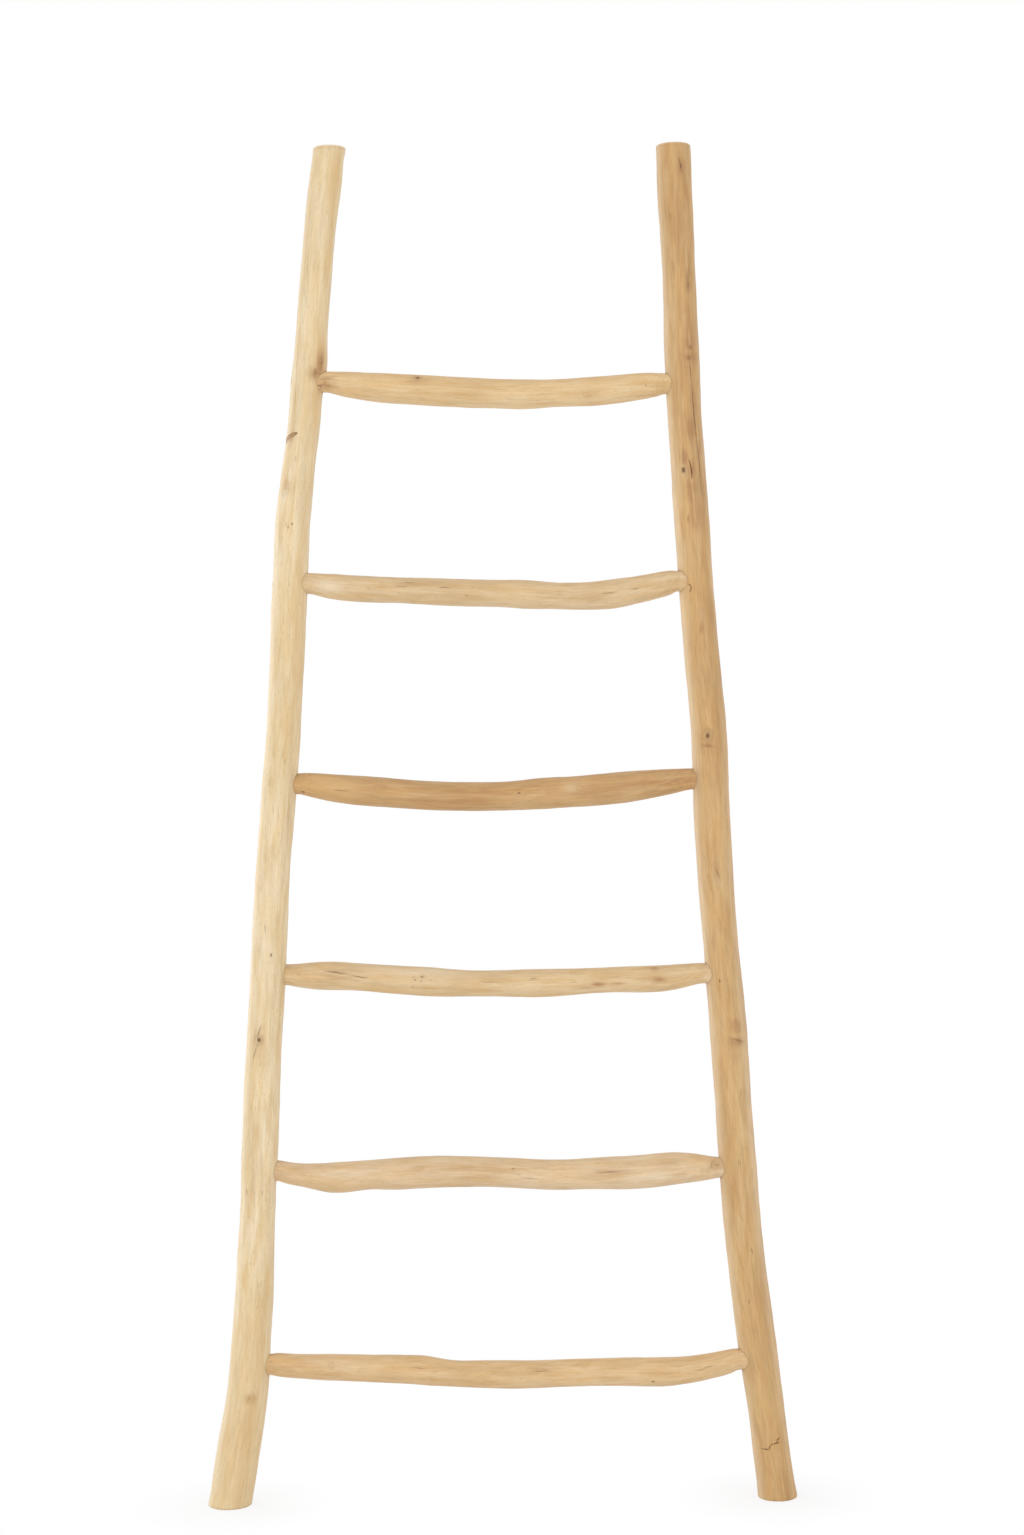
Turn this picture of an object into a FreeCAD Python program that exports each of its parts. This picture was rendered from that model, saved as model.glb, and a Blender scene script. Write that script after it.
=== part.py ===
"""A leaning ladder of natural teak branches: two crooked stiles and six crooked rungs.

Each rung ends in a round tenon that sits in a blind round mortise in the stile. A wood screw
comes in from the outside of the stile along the tenon, and a flush teak plug covers its head.

X runs along the rungs, Y into the depth (the wall is at +Y), Z up. The origin is on the floor,
midway between the feet. All lengths are in millimetres.
"""
import FreeCAD, Part
import os

from FreeCAD import Placement, Rotation, Vector

OUT = "parts"
SHEET = "Sizes"
STEPS = 6
RIGHT_ANGLE = 90
HALF_TURN = "180deg"
FULL_TURN = "360deg"
LOFT_DEGREE = 7

# Driving dimensions, in millimetres.
SIZES = {
    # Whole ladder: the spreads are from one stile's axis to the other's, and top_shift is how far
    # the middle of the top stands to the right of the middle of the feet
    "ladder_height": 1800,
    "right_top_drop": 6,
    "foot_spread": 727.6,
    "top_spread": 455.6,
    "top_shift": 26.3,
    "first_rung_height": 183,
    "top_overhang": 322,
    # Stiles
    "stile_thickness": 47,
    "stile_bow": 20,
    "stile_depth_bow": 6,
    "end_round": 2.5,
    # Rungs: the neck is the last of the whittled end, just outside the mortise
    "rung_thickness": 38,
    "neck_length": 4,
    "neck_shoulder": 0.3,
    # Round mortise and tenon: the wall is the wood left behind the mortise
    "tenon_diameter": 28,
    "tenon_root": 1.5,
    "tenon_chamfer": 1.5,
    "tenon_clearance": 0.15,
    "tenon_end_gap": 2,
    "mortise_wall": 16,
    # Wood screw
    "screw_length": 50,
    "screw_head_diameter": 9.6,
    "screw_head_rim": 0.6,
    "screw_head_cone": 3,
    "screw_shank_diameter": 3.6,
    "screw_shank_length": 18,
    "screw_thread_diameter": 5,
    "screw_core_diameter": 3.2,
    "screw_thread_pitch": 2.8,
    "screw_tip_length": 4,
    "screw_tip_diameter": 0.6,
    "screw_clearance": 0.1,
    "recess_span": 5,
    "recess_width": 1.2,
    "recess_depth": 1.8,
    "pilot_overdrill": 1.5,
    # Plug over the screw head
    "plug_margin": 0.2,
    "plug_depth": 7,
    "plug_clearance": 0.05,
    # How far a cutting tool runs past the wood
    "tool_overrun": 12,
}

# Stile tables. A station is (share of the way from the joint below to the joint above,
# sideways bow as a share of stile_bow, thickness as a share of stile_thickness).
# The first span starts at the floor and the last one ends at the top.
LEFT_SPAN_SHARES = [
    [(0, 0, 1.23), (0.25, 0.19, 1.225), (0.5, 0.405, 1.22), (0.7, 0.555, 1.2)],
    [(0.14, 0.615, 1.105), (0.37, 0.58, 1.07), (0.6, 0.485, 1.04), (0.84, 0.4, 1.005)],
    [(0.18, 0.235, 1.02), (0.41, 0.12, 1.02), (0.64, 0.04, 1.01)],
    [(0.23, -0.115, 0.995), (0.46, -0.185, 0.97), (0.74, -0.19, 0.97)],
    [(0.17, -0.165, 0.98), (0.39, -0.22, 0.955), (0.62, -0.305, 0.98), (0.8, -0.39, 1)],
    [(0.18, -0.585, 0.985), (0.29, -0.62, 0.98), (0.41, -0.58, 0.975), (0.52, -0.545, 0.945),
     (0.63, -0.48, 0.915), (0.75, -0.385, 0.925)],
    [(0.08, -0.26, 0.975), (0.17, -0.3, 0.92), (0.36, -0.305, 0.9), (0.58, -0.285, 0.89),
     (0.75, -0.21, 0.925), (0.86, -0.13, 0.935), (1, 0, 0.93)],
]
RIGHT_SPAN_SHARES = [
    [(0, 0, 1.09), (0.11, -0.06, 1.065), (0.27, -0.155, 1.045), (0.52, -0.27, 1.045), (0.76, -0.39, 1.06)],
    [(0.14, -0.65, 1.08), (0.32, -0.77, 1.075), (0.5, -0.87, 1.065), (0.73, -0.95, 1.06)],
    [(0.2, -0.94, 1.04), (0.43, -0.915, 1.04), (0.7, -0.875, 1.04)],
    [(0.15, -0.92, 1), (0.37, -0.93, 1.01), (0.6, -0.905, 1.005), (0.83, -0.82, 1.015)],
    [(0.12, -0.655, 1.03), (0.25, -0.605, 1.02), (0.4, -0.62, 1), (0.63, -0.675, 0.99)],
    [(0.16, -0.685, 0.985), (0.43, -0.635, 0.995), (0.66, -0.61, 0.98), (0.85, -0.605, 0.965)],
    [(0.11, -0.465, 0.975), (0.28, -0.375, 0.955), (0.47, -0.255, 0.95), (0.66, -0.175, 0.965),
     (0.84, -0.105, 0.97), (1, 0, 0.965)],
]

# Joint tables, from the lowest rung up: the stile's bow and thickness there, how far the tenon
# lies above the even pitch (a share of rung_thickness), and how far it lies towards the viewer
# (a share of tenon_diameter).
LEFT_JOINT_SHARES = [
    (0.625, 1.15, 0.04, 0.03),
    (0.31, 1.015, -0.01, -0.12),
    (-0.02, 1, 0.045, -0.14),
    (-0.18, 0.985, -0.105, -0.04),
    (-0.485, 1, 0.065, 0.05),
    (-0.325, 0.94, 0.29, 0.12),
]
RIGHT_JOINT_SHARES = [
    (-0.53, 1.075, 0.055, 0.17),
    (-0.96, 1.055, -0.075, 0.05),
    (-0.905, 1.015, -0.135, 0.08),
    (-0.725, 1.03, -0.16, -0.04),
    (-0.7, 0.985, -0.055, 0.19),
    (-0.535, 0.965, 0.035, 0.06),
]

# Depth waves of the stiles: waves over the height, and the phase as a share of a wave.
STILE_WAVE_SHARES = {"left": (1.3, 0.1), "right": (1.1, 0.55)}

# Rung tables, from the lowest rung up. A station is (share of the way from the left stile to the
# right one, height above the straight line between the tenons and thickness, both as shares of
# rung_thickness).
RUNG_SHARES = [
    [(0.045, -0.05, 0.825), (0.12, -0.105, 0.915), (0.21, -0.16, 0.93), (0.29, -0.21, 0.99),
     (0.335, -0.265, 1.02), (0.375, -0.345, 0.935), (0.46, -0.41, 0.94), (0.58, -0.425, 0.96),
     (0.75, -0.38, 0.955), (0.835, -0.405, 1.01), (0.88, -0.365, 0.95), (0.955, -0.165, 0.86)],
    [(0.045, -0.13, 0.79), (0.08, -0.205, 0.9), (0.12, -0.26, 1.04), (0.17, -0.225, 1.05),
     (0.28, -0.14, 1.11), (0.375, -0.085, 1.095), (0.46, -0.095, 1.045), (0.54, -0.16, 1.04),
     (0.64, -0.225, 1.075), (0.75, -0.18, 1.11), (0.84, -0.125, 1.155), (0.91, -0.04, 1.08),
     (0.96, -0.015, 0.92)],
    [(0.04, -0.03, 0.86), (0.085, -0.035, 0.99), (0.13, -0.045, 1), (0.21, -0.12, 0.965),
     (0.33, -0.245, 1.01), (0.42, -0.31, 0.93), (0.5, -0.32, 0.915), (0.59, -0.315, 0.99),
     (0.67, -0.28, 0.94), (0.79, -0.21, 0.875), (0.875, -0.18, 0.925), (0.955, -0.07, 0.815)],
    [(0.045, -0.07, 0.855), (0.125, -0.22, 1.005), (0.21, -0.33, 1.035), (0.33, -0.465, 1.03),
     (0.45, -0.52, 1.015), (0.55, -0.505, 1.03), (0.625, -0.44, 1.08), (0.73, -0.37, 1.085),
     (0.835, -0.25, 1.095), (0.9, -0.155, 0.98), (0.96, -0.06, 0.84)],
    [(0.045, -0.075, 0.835), (0.085, -0.135, 0.905), (0.15, -0.2, 0.92), (0.29, -0.29, 0.91),
     (0.42, -0.355, 0.955), (0.54, -0.41, 0.97), (0.66, -0.48, 0.955), (0.75, -0.5, 0.98),
     (0.83, -0.42, 1.015), (0.9, -0.26, 0.945), (0.955, -0.11, 0.885)],
    [(0.045, -0.045, 0.85), (0.11, -0.125, 0.97), (0.17, -0.19, 1.02), (0.28, -0.255, 1.06),
     (0.4, -0.32, 1.055), (0.52, -0.375, 1.02), (0.62, -0.37, 1.01), (0.75, -0.3, 0.99),
     (0.85, -0.21, 0.985), (0.91, -0.12, 0.935), (0.96, -0.045, 0.87)],
]
# Depth bow of each rung at mid span, towards the viewer, as a share of rung_thickness.
RUNG_FORWARD_SHARES = [0.08, -0.06, 0.1, -0.04, 0.07, -0.08]

SIDES = {"left": -1, "right": 1}
SPANS = {"left": LEFT_SPAN_SHARES, "right": RIGHT_SPAN_SHARES}
JOINTS = {"left": LEFT_JOINT_SHARES, "right": RIGHT_JOINT_SHARES}


def size(alias):
    """The expression that reads one cell of the sheet."""
    return f"{SHEET}.{alias}"


# The even distance from one rung to the next.
PITCH = f"(({size('ladder_height')} - {size('first_rung_height')} - {size('top_overhang')}) / {STEPS - 1})"


def make_sheet(doc):
    """The spreadsheet that holds every driving dimension under its alias."""
    sheet = doc.addObject("Spreadsheet::Sheet", SHEET)
    for row, (alias, value) in enumerate(SIZES.items(), start=1):
        sheet.set(f"A{row}", alias)
        sheet.set(f"B{row}", str(value))
        sheet.setAlias(f"B{row}", alias)
    doc.recompute()
    return sheet


class Stile:
    """Where a stile's centre line runs, as expressions of the sheet."""

    def __init__(self, side):
        self.side = side
        self.out = SIDES[side]
        self.joints = JOINTS[side]
        drop = f" - {size('right_top_drop')}" if side == "right" else ""
        self.top = f"({size('ladder_height')}{drop})"

    def joint_height(self, step):
        """The height of a tenon's axis. Step -1 is the floor and the last one the top."""
        if step < 0:
            return "0"
        if step >= STEPS:
            return self.top
        lift = self.joints[step][2]
        return f"({size('first_rung_height')} + {step} * {PITCH} + {lift} * {size('rung_thickness')})"

    def x(self, height, bow):
        foot = f"{self.out} * {size('foot_spread')} / 2"
        top = f"({size('top_shift')} + {self.out} * {size('top_spread')} / 2)"
        return f"{foot} + {height} / {self.top} * ({top} - {foot}) + {bow} * {size('stile_bow')}"

    def y(self, height):
        waves, phase = STILE_WAVE_SHARES[self.side]
        turn = f"{FULL_TURN} * ({waves} * {height} / {self.top} + {phase})"
        return f"{size('stile_depth_bow')} * sin({turn})"

    def joint_x(self, step):
        return self.x(self.joint_height(step), self.joints[step][0])

    def joint_y(self, step):
        """The tenon's depth: the stile's own centre, moved towards the viewer."""
        forward = self.joints[step][3]
        return f"{self.y(self.joint_height(step))} - {forward} * {size('tenon_diameter')}"

    def joint_thickness(self, step):
        return f"{self.joints[step][1]} * {size('stile_thickness')}"

    def mortise_depth(self, step):
        return f"({self.joint_thickness(step)} - {size('mortise_wall')})"

    def from_mouth(self, step, outward):
        """The x of a point that lies outward of the mortise's mouth by an expression."""
        mouth = f"{self.joint_x(step)} - {self.out} * {self.joint_thickness(step)} / 2"
        return f"{mouth} + {self.out} * ({outward})"

    def from_outside(self, step, outward):
        """The x of a point measured from the stile's outer face beside the tenon."""
        return self.from_mouth(step, f"{self.joint_thickness(step)} + {outward}")


STILES = {side: Stile(side) for side in SIDES}
PLUG_DIAMETER = f"({size('screw_head_diameter')} + 2 * {size('plug_margin')})"


def put(item, place, rotation=None):
    """Binds an object's place to the sheet."""
    item.Placement = Placement(Vector(), rotation or Rotation())
    for axis, formula in zip("xyz", place):
        item.setExpression(f".Placement.Base.{axis}", formula)
    return item


def along_x(sign):
    """The turn that lays a primitive's own Z along +X or -X."""
    return Rotation(Vector(0, 1, 0), sign * RIGHT_ANGLE)


def bind(item, **formulas):
    """Binds an object's sizes to the sheet."""
    for name, formula in formulas.items():
        item.setExpression(name, formula)
    return item


def cylinder(doc, name, place, turn, diameter, length, grow="0"):
    rod = put(doc.addObject("Part::Cylinder", name), place, turn)
    return bind(rod, Radius=f"({diameter}) / 2 + {grow}", Height=length)


def cone(doc, name, place, turn, near, far, length, grow="0"):
    taper = put(doc.addObject("Part::Cone", name), place, turn)
    return bind(taper, Radius1=f"({near}) / 2 + {grow}", Radius2=f"({far}) / 2 + {grow}", Height=length)


def fuse(doc, name, pieces):
    joined = doc.addObject("Part::MultiFuse", name)
    joined.Shapes = pieces
    return joined


def cut(doc, name, base, tool):
    drilled = doc.addObject("Part::Cut", name)
    drilled.Base = base
    drilled.Tool = tool
    return drilled


def loft(doc, name, rings):
    branch = doc.addObject("Part::Loft", name)
    branch.Sections = rings
    branch.Solid = True
    branch.Ruled = False
    branch.MaxDegree = LOFT_DEGREE
    return branch


def ring(doc, name, place, thickness, turn=None):
    """One round section of a branch."""
    circle = put(doc.addObject("Part::Circle", name), place, turn)
    return bind(circle, Radius=f"({thickness}) / 2")


def stile_stations(stile):
    """(height, bow, thickness) of each section, from the floor to the top."""
    stations = []
    for span, shares in enumerate(SPANS[stile.side]):
        low, high = stile.joint_height(span - 1), stile.joint_height(span)
        for share, bow, thickness in shares:
            stations.append((f"({low} + {share} * ({high} - {low}))", bow, thickness))
        if span < STEPS:
            bow, thickness = stile.joints[span][:2]
            stations.append((high, bow, thickness))
    return stations


def build_blank(doc, stile):
    """The stile before it is drilled: a loft with its two ends rounded over.

    Its seam runs down the back, clear of every hole.
    """
    seam_behind = Rotation(Vector(0, 0, 1), RIGHT_ANGLE)
    rings = [
        ring(doc, f"{stile.side}_stile_ring_{n}", (stile.x(height, bow), stile.y(height), height),
             f"{thickness} * {size('stile_thickness')}", seam_behind)
        for n, (height, bow, thickness) in enumerate(stile_stations(stile))
    ]
    branch = loft(doc, f"{stile.side}_stile_branch", rings)
    doc.recompute()
    round_over = doc.getObject(SHEET).end_round
    ends = [number for number, edge in enumerate(branch.Shape.Edges, start=1) if edge.isClosed()]
    blank = doc.addObject("Part::Fillet", f"{stile.side}_stile_blank")
    blank.Base = branch
    blank.Edges = [(number, round_over, round_over) for number in ends]
    return blank


def build_stile(doc, stile, blank):
    """The drilled stile: a mortise, a screw hole, a head seat and a plug bore at each rung."""
    outward, inward = along_x(stile.out), along_x(-stile.out)
    overrun = size("tool_overrun")
    tools = []
    for step in range(STEPS):
        tag = f"{stile.side}_{step + 1}"
        depth, height = stile.joint_y(step), stile.joint_height(step)
        mouth = (stile.from_mouth(step, f"-{overrun}"), depth, height)
        seat = (stile.from_outside(step, f"-{size('plug_depth')}"), depth, height)
        cone_start = f"-{size('plug_depth')} - {size('screw_head_rim')}"
        seat_cone = (stile.from_outside(step, cone_start), depth, height)
        through = f"{size('mortise_wall')} - {size('plug_depth')} + {size('tenon_end_gap')} / 2"
        tools += [
            cylinder(doc, f"mortise_{tag}", mouth, outward, size("tenon_diameter"),
                     f"{stile.mortise_depth(step)} + {overrun}", size("tenon_clearance")),
            cylinder(doc, f"screw_hole_{tag}", seat, inward, size("screw_thread_diameter"),
                     through, size("screw_clearance")),
            cylinder(doc, f"rim_seat_{tag}", seat, inward, size("screw_head_diameter"),
                     size("screw_head_rim"), size("screw_clearance")),
            cone(doc, f"cone_seat_{tag}", seat_cone, inward, size("screw_head_diameter"),
                 size("screw_shank_diameter"), size("screw_head_cone"), size("screw_clearance")),
            cylinder(doc, f"plug_bore_{tag}", seat, outward, PLUG_DIAMETER,
                     f"{size('plug_depth')} + {overrun}", size("plug_clearance")),
        ]
    drills = fuse(doc, f"{stile.side}_stile_drills", tools)
    return label(cut(doc, f"{stile.side}_stile_drilled", blank, drills), f"{stile.side}_stile")


def build_rung(doc, step):
    """A crooked branch with both ends whittled to a round tenon, and a pilot hole in each."""
    name = f"rung_{step + 1}"
    left, right = STILES["left"], STILES["right"]
    ends = (left, right)
    across = along_x(1)
    mouth = {end.side: end.from_mouth(step, "0") for end in ends}

    def ring_at(number, x, share, rise, thickness):
        low = f"({left.joint_height(step)})"
        high = f"({right.joint_height(step)})"
        near, far = f"({left.joint_y(step)})", f"({right.joint_y(step)})"
        forward = f"{RUNG_FORWARD_SHARES[step]} * {size('rung_thickness')} * sin({HALF_TURN} * {share})"
        place = (x, f"{near} + {share} * ({far} - {near}) - {forward}",
                 f"{low} + {share} * ({high} - {low}) + {rise} * {size('rung_thickness')}")
        return ring(doc, f"{name}_ring_{number}", place, thickness, across)

    neck = f"{size('tenon_diameter')} + 2 * {size('neck_shoulder')}"
    rings = [ring_at("left_neck", left.from_mouth(step, f"-{size('neck_length')}"), 0, 0, neck)]
    for number, (share, rise, thickness) in enumerate(RUNG_SHARES[step]):
        x = f"({mouth['left']}) + {share} * (({mouth['right']}) - ({mouth['left']}))"
        rings.append(ring_at(number, x, share, rise, f"{thickness} * {size('rung_thickness')}"))
    rings.append(ring_at("right_neck", right.from_mouth(step, f"-{size('neck_length')}"), 1, 0, neck))
    pieces = [loft(doc, f"{name}_branch", rings)]
    pilots = []
    for end in ends:
        depth, height = end.joint_y(step), end.joint_height(step)
        buried = f"{size('neck_length')} + {size('tenon_root')}"
        tip = f"{end.mortise_depth(step)} - {size('tenon_end_gap')} - {size('tenon_chamfer')}"
        straight = (end.from_mouth(step, f"-({buried})"), depth, height)
        chamfer = (end.from_mouth(step, tip), depth, height)
        outward = along_x(end.out)
        pieces += [
            cylinder(doc, f"{name}_{end.side}_tenon", straight, outward, size("tenon_diameter"),
                     f"{tip} + {buried}"),
            cone(doc, f"{name}_{end.side}_chamfer", chamfer, outward, size("tenon_diameter"),
                 f"{size('tenon_diameter')} - 2 * {size('tenon_chamfer')}", size("tenon_chamfer")),
        ]
        bottom = f"-{size('plug_depth')} - {size('screw_length')} - {size('pilot_overdrill')}"
        pilot_start = (end.from_outside(step, bottom), depth, height)
        pilots.append(cylinder(doc, f"{name}_{end.side}_pilot", pilot_start, outward,
                               size("screw_thread_diameter"),
                               f"{size('screw_length')} + {size('pilot_overdrill')}",
                               f"{size('screw_clearance')} / 2"))
    whole = fuse(doc, f"{name}_whole", pieces)
    return label(cut(doc, f"{name}_drilled", whole, fuse(doc, f"{name}_pilots", pilots)), name)


def build_screw(doc, stile, step):
    """A countersunk wood screw: head, plain shank, threaded core with its ridges, and tip."""
    tag = f"screw_{stile.side}_{step + 1}"
    inward = along_x(-stile.out)
    depth, height = stile.joint_y(step), stile.joint_height(step)

    def down(distance):
        return stile.from_outside(step, f"-{size('plug_depth')} - ({distance})"), depth, height

    rim, head_cone, shank = size("screw_head_rim"), size("screw_head_cone"), size("screw_shank_length")
    tip, pitch = size("screw_tip_length"), size("screw_thread_pitch")
    core = size("screw_core_diameter")
    pieces = [
        cylinder(doc, f"{tag}_rim", down("0"), inward, size("screw_head_diameter"), rim),
        cone(doc, f"{tag}_cone", down(rim), inward, size("screw_head_diameter"),
             size("screw_shank_diameter"), head_cone),
        cylinder(doc, f"{tag}_shank", down(f"{rim} + {head_cone}"), inward, size("screw_shank_diameter"),
                 f"{shank} - {rim} - {head_cone}"),
        cylinder(doc, f"{tag}_core", down(shank), inward, core,
                 f"{size('screw_length')} - {shank} - {tip}"),
        cone(doc, f"{tag}_tip", down(f"{size('screw_length')} - {tip}"), inward, core,
             size("screw_tip_diameter"), tip),
    ]
    sheet = doc.getObject(SHEET)
    threaded = sheet.screw_length - sheet.screw_shank_length - sheet.screw_tip_length
    for turn in range(int(threaded / sheet.screw_thread_pitch)):
        start = f"{shank} + {turn} * {pitch}"
        crest, half = size("screw_thread_diameter"), f"{pitch} / 2"
        pieces += [
            cone(doc, f"{tag}_rise_{turn}", down(start), inward, core, crest, half),
            cone(doc, f"{tag}_fall_{turn}", down(f"{start} + {half}"), inward, crest, core, half),
        ]
    solid = fuse(doc, f"{tag}_solid", pieces)
    deep = size("recess_depth")
    middle_x, middle_y, middle_z = down(f"{deep} / 2")
    slots = []
    for wide, high in (("recess_span", "recess_width"), ("recess_width", "recess_span")):
        slot = doc.addObject("Part::Box", f"{tag}_{wide}_slot")
        spans = ((middle_x, deep), (middle_y, size(wide)), (middle_z, size(high)))
        put(slot, [f"{middle} - {span} / 2" for middle, span in spans])
        slots.append(bind(slot, Length=deep, Width=size(wide), Height=size(high)))
    return label(cut(doc, f"{tag}_cut", solid, fuse(doc, f"{tag}_recess", slots)), tag)


def build_plug(doc, stile, step, blank):
    """The teak plug in the bore over the screw head, trimmed flush with the stile's skin."""
    tag = f"plug_{stile.side}_{step + 1}"
    place = (stile.from_outside(step, f"{size('screw_clearance')} - {size('plug_depth')}"),
             stile.joint_y(step), stile.joint_height(step))
    rod = cylinder(doc, f"{tag}_rod", place, along_x(stile.out), PLUG_DIAMETER,
                   f"{size('plug_depth')} + {size('tool_overrun')}")
    flush = doc.addObject("Part::Common", f"{tag}_flush")
    flush.Base = rod
    flush.Tool = blank
    return label(flush, tag)


def label(item, name):
    item.Label = name
    return item


def check(doc, parts):
    """Stops before anything is written if an object failed or a sub-part isn't sound."""
    for item in doc.Objects:
        if "Invalid" in item.State or "Error" in item.State:
            raise RuntimeError(f"{item.Name} failed: {item.State}")
    for item in parts:
        if item.Shape.isNull() or not item.Shape.isValid() or len(item.Shape.Solids) != 1:
            raise RuntimeError(f"{item.Label} isn't one valid solid")


def main():
    doc = FreeCAD.newDocument("TeakLadder")
    make_sheet(doc)
    parts = []
    for stile in STILES.values():
        blank = build_blank(doc, stile)
        parts.append(build_stile(doc, stile, blank))
        for step in range(STEPS):
            parts.append(build_screw(doc, stile, step))
            parts.append(build_plug(doc, stile, step, blank))
    parts += [build_rung(doc, step) for step in range(STEPS)]
    doc.recompute()
    check(doc, parts)
    os.makedirs(OUT, exist_ok=True)
    for item in parts:
        item.Shape.exportStep(os.path.join(OUT, f"{item.Label}.step"))
        print(f"{item.Label}: {item.Shape.Volume / 1000:.1f} cm3")
    return doc


main()
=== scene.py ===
"""The looks of a leaning ladder of natural teak branches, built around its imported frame.

Every stick of the ladder is a peeled branch. It starts as a cylinder, is cut into rings, and takes
the middle line and thickness of its frame node, with swellings, flats, knots, knife cuts and cracks
on its skin. Lengths are in metres, and the small ones are written as a number of MM.
"""
import math

import bpy
import numpy as np
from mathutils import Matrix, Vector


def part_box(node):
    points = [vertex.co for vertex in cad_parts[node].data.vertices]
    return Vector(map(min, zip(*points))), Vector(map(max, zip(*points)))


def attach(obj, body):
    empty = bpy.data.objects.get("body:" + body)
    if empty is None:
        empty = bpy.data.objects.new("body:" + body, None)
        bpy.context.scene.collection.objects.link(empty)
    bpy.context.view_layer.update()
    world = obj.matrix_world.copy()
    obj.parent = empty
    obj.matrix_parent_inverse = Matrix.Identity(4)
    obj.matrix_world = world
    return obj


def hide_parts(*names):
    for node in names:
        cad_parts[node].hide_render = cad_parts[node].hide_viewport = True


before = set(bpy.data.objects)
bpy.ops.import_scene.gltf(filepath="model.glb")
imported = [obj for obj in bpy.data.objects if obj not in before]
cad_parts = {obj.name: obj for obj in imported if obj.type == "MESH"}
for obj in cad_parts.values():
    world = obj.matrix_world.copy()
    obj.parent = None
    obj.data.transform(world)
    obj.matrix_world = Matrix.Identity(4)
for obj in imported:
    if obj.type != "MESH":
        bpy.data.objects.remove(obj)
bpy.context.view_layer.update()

MM = 0.001
FULL_TURN = 2 * math.pi
SEED = 1047
STEPS = range(1, 7)
OUTWARD = {"left": -1, "right": 1}

# The camera's place, and its roll, which the photograph shows
CAMERA_PLACE = (0.0271, -3.43, 0.973)
CAMERA_ROLL = math.radians(0.94)
LENS, SENSOR = 60.58, 36

# How the branches are meshed: sides round them, and the cuts of each subdivision along them
STILE_SIDES, STILE_CUTS = 84, (100, 8)
RUNG_SIDES, RUNG_CUTS = 64, (72, 5)
PLUG_SIDES, PILOT_SIDES = 48, 24
SMOOTH_ANGLE = math.radians(38)
END_ROUND = 1.6 * MM
# Insets of a branch's cap: the first ones make the rounded rim, the others the sawn face
RIM_INSETS, FACE_INSETS = 5, 6
RIM_SHARE = 0.1
# A length in metres that counts as nothing
NEGLIGIBLE = 1e-6

# How the frame is measured, and how often a place on the skin is worked out again
SLICE_STEP = 7 * MM
SLICE_MARGIN = 3 * MM
FIT_TOLERANCES = (4 * MM, 2 * MM, 1 * MM, 0.5 * MM, 0.3 * MM, 0.3 * MM)
SIGHT_ROUNDS, SKIN_ROUNDS = 4, 5

# The holes of a joint, around the tenon, the screw and the plug
MORTISE_GAP = 0.2 * MM
# Joints whose mouth stands more open than that
OPEN_MOUTHS = {("left", 6): 0.6 * MM, ("left", 4): 0.45 * MM, ("right", 4): 0.4 * MM,
               ("right", 2): 0.5 * MM, ("left", 1): 0.35 * MM, ("right", 5): 0.35 * MM}
TENON_END_GAP = 2 * MM
SCREW_HOLE_RADIUS = 2.6 * MM
HEAD_GAP = 0.1 * MM
HEAD_RIM, HEAD_CONE = 0.7 * MM, 3.1 * MM
PLUG_GAP = 0.12 * MM
PILOT_RADIUS = 2.55 * MM
PILOT_OVERDRILL = 1.5 * MM
OVERRUN = 12 * MM

# The face of a plug: its insets and its worn edge as shares of its radius, how far it may stand
# proud and its edge drops in MM, how far its grain may lean, and the grain's step from plug to plug
PLUG_INSETS = (0.06, 0.14, 0.2, 0.2, 0.2)
PLUG_EDGE, PLUG_EDGE_DROP = 0.1, 0.35
PLUG_PROUD = (0.02, 0.16)
PLUG_LEAN, PLUG_GRAIN_STEP = 0.5, 0.03
# How squarely a face looks outwards to be a plug's face or a stile's sawn end
PLUG_FACING, SAWN_FACING = 0.9, 0.8

# Marks on the front of each stick. A place is metres along the stick (height on a stile, x on a
# rung) and a share of its half width, towards the right on a stile and upwards on a rung.
# Knots: along, across, half length and half width in MM, and how far they stand out in MM.
KNOTS = {
    "left_stile": [
        (1.3485, -0.62, 11, 6, 0.5), (0.9589, -0.55, 6, 4, 0.3), (0.6167, -0.32, 7, 5, 0.7),
        (0.2927, 0.35, 4, 3, 0.3), (0.1403, 0.16, 5, 5, 0.6), (1.5, 0.86, 8, 6, 0.8),
    ],
    "right_stile": [
        (1.7016, -0.34, 4, 3, 0.3), (1.3641, -0.26, 5, 4.5, 0.6), (1.0118, -0.07, 9, 7, 0.8),
        (0.6248, 0.45, 8, 6, 0.6), (1.1739, 0.14, 7, 4, 0.3), (0.8215, 0.1, 5, 4, 0.3),
    ],
    "rung_6": [(-0.0897, 0.74, 6, 5, 0.7), (0.1348, -0.19, 5, 4, 0.3)],
    "rung_5": [(0.0946, 0.21, 4, 3, 0.3)],
    "rung_4": [(-0.1486, 0.21, 9, 6, 0.6), (0.1169, 0.2, 5, 4, 0.3)],
    "rung_3": [(0.2119, 0.6, 5, 4, 0.4), (0.2136, -0.21, 6, 4, 0.3), (-0.0969, 0.28, 4, 3, 0.3)],
    "rung_2": [(0.29, 0.12, 8, 7.6, 0.7), (-0.1051, 0.25, 5, 4, 0.4)],
    "rung_1": [(0.0405, 0.14, 7, 4, 0.4), (-0.226, 0.1, 5, 4, 0.4)],
}
# The knots that have a dark heart or a clear ring, by their place in the table above
SPECIAL_KNOTS = {
    "dark": {"left_stile": (2,), "right_stile": (2,), "rung_6": (0,)},
    "clear": {"right_stile": (0, 3)},
}
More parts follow.
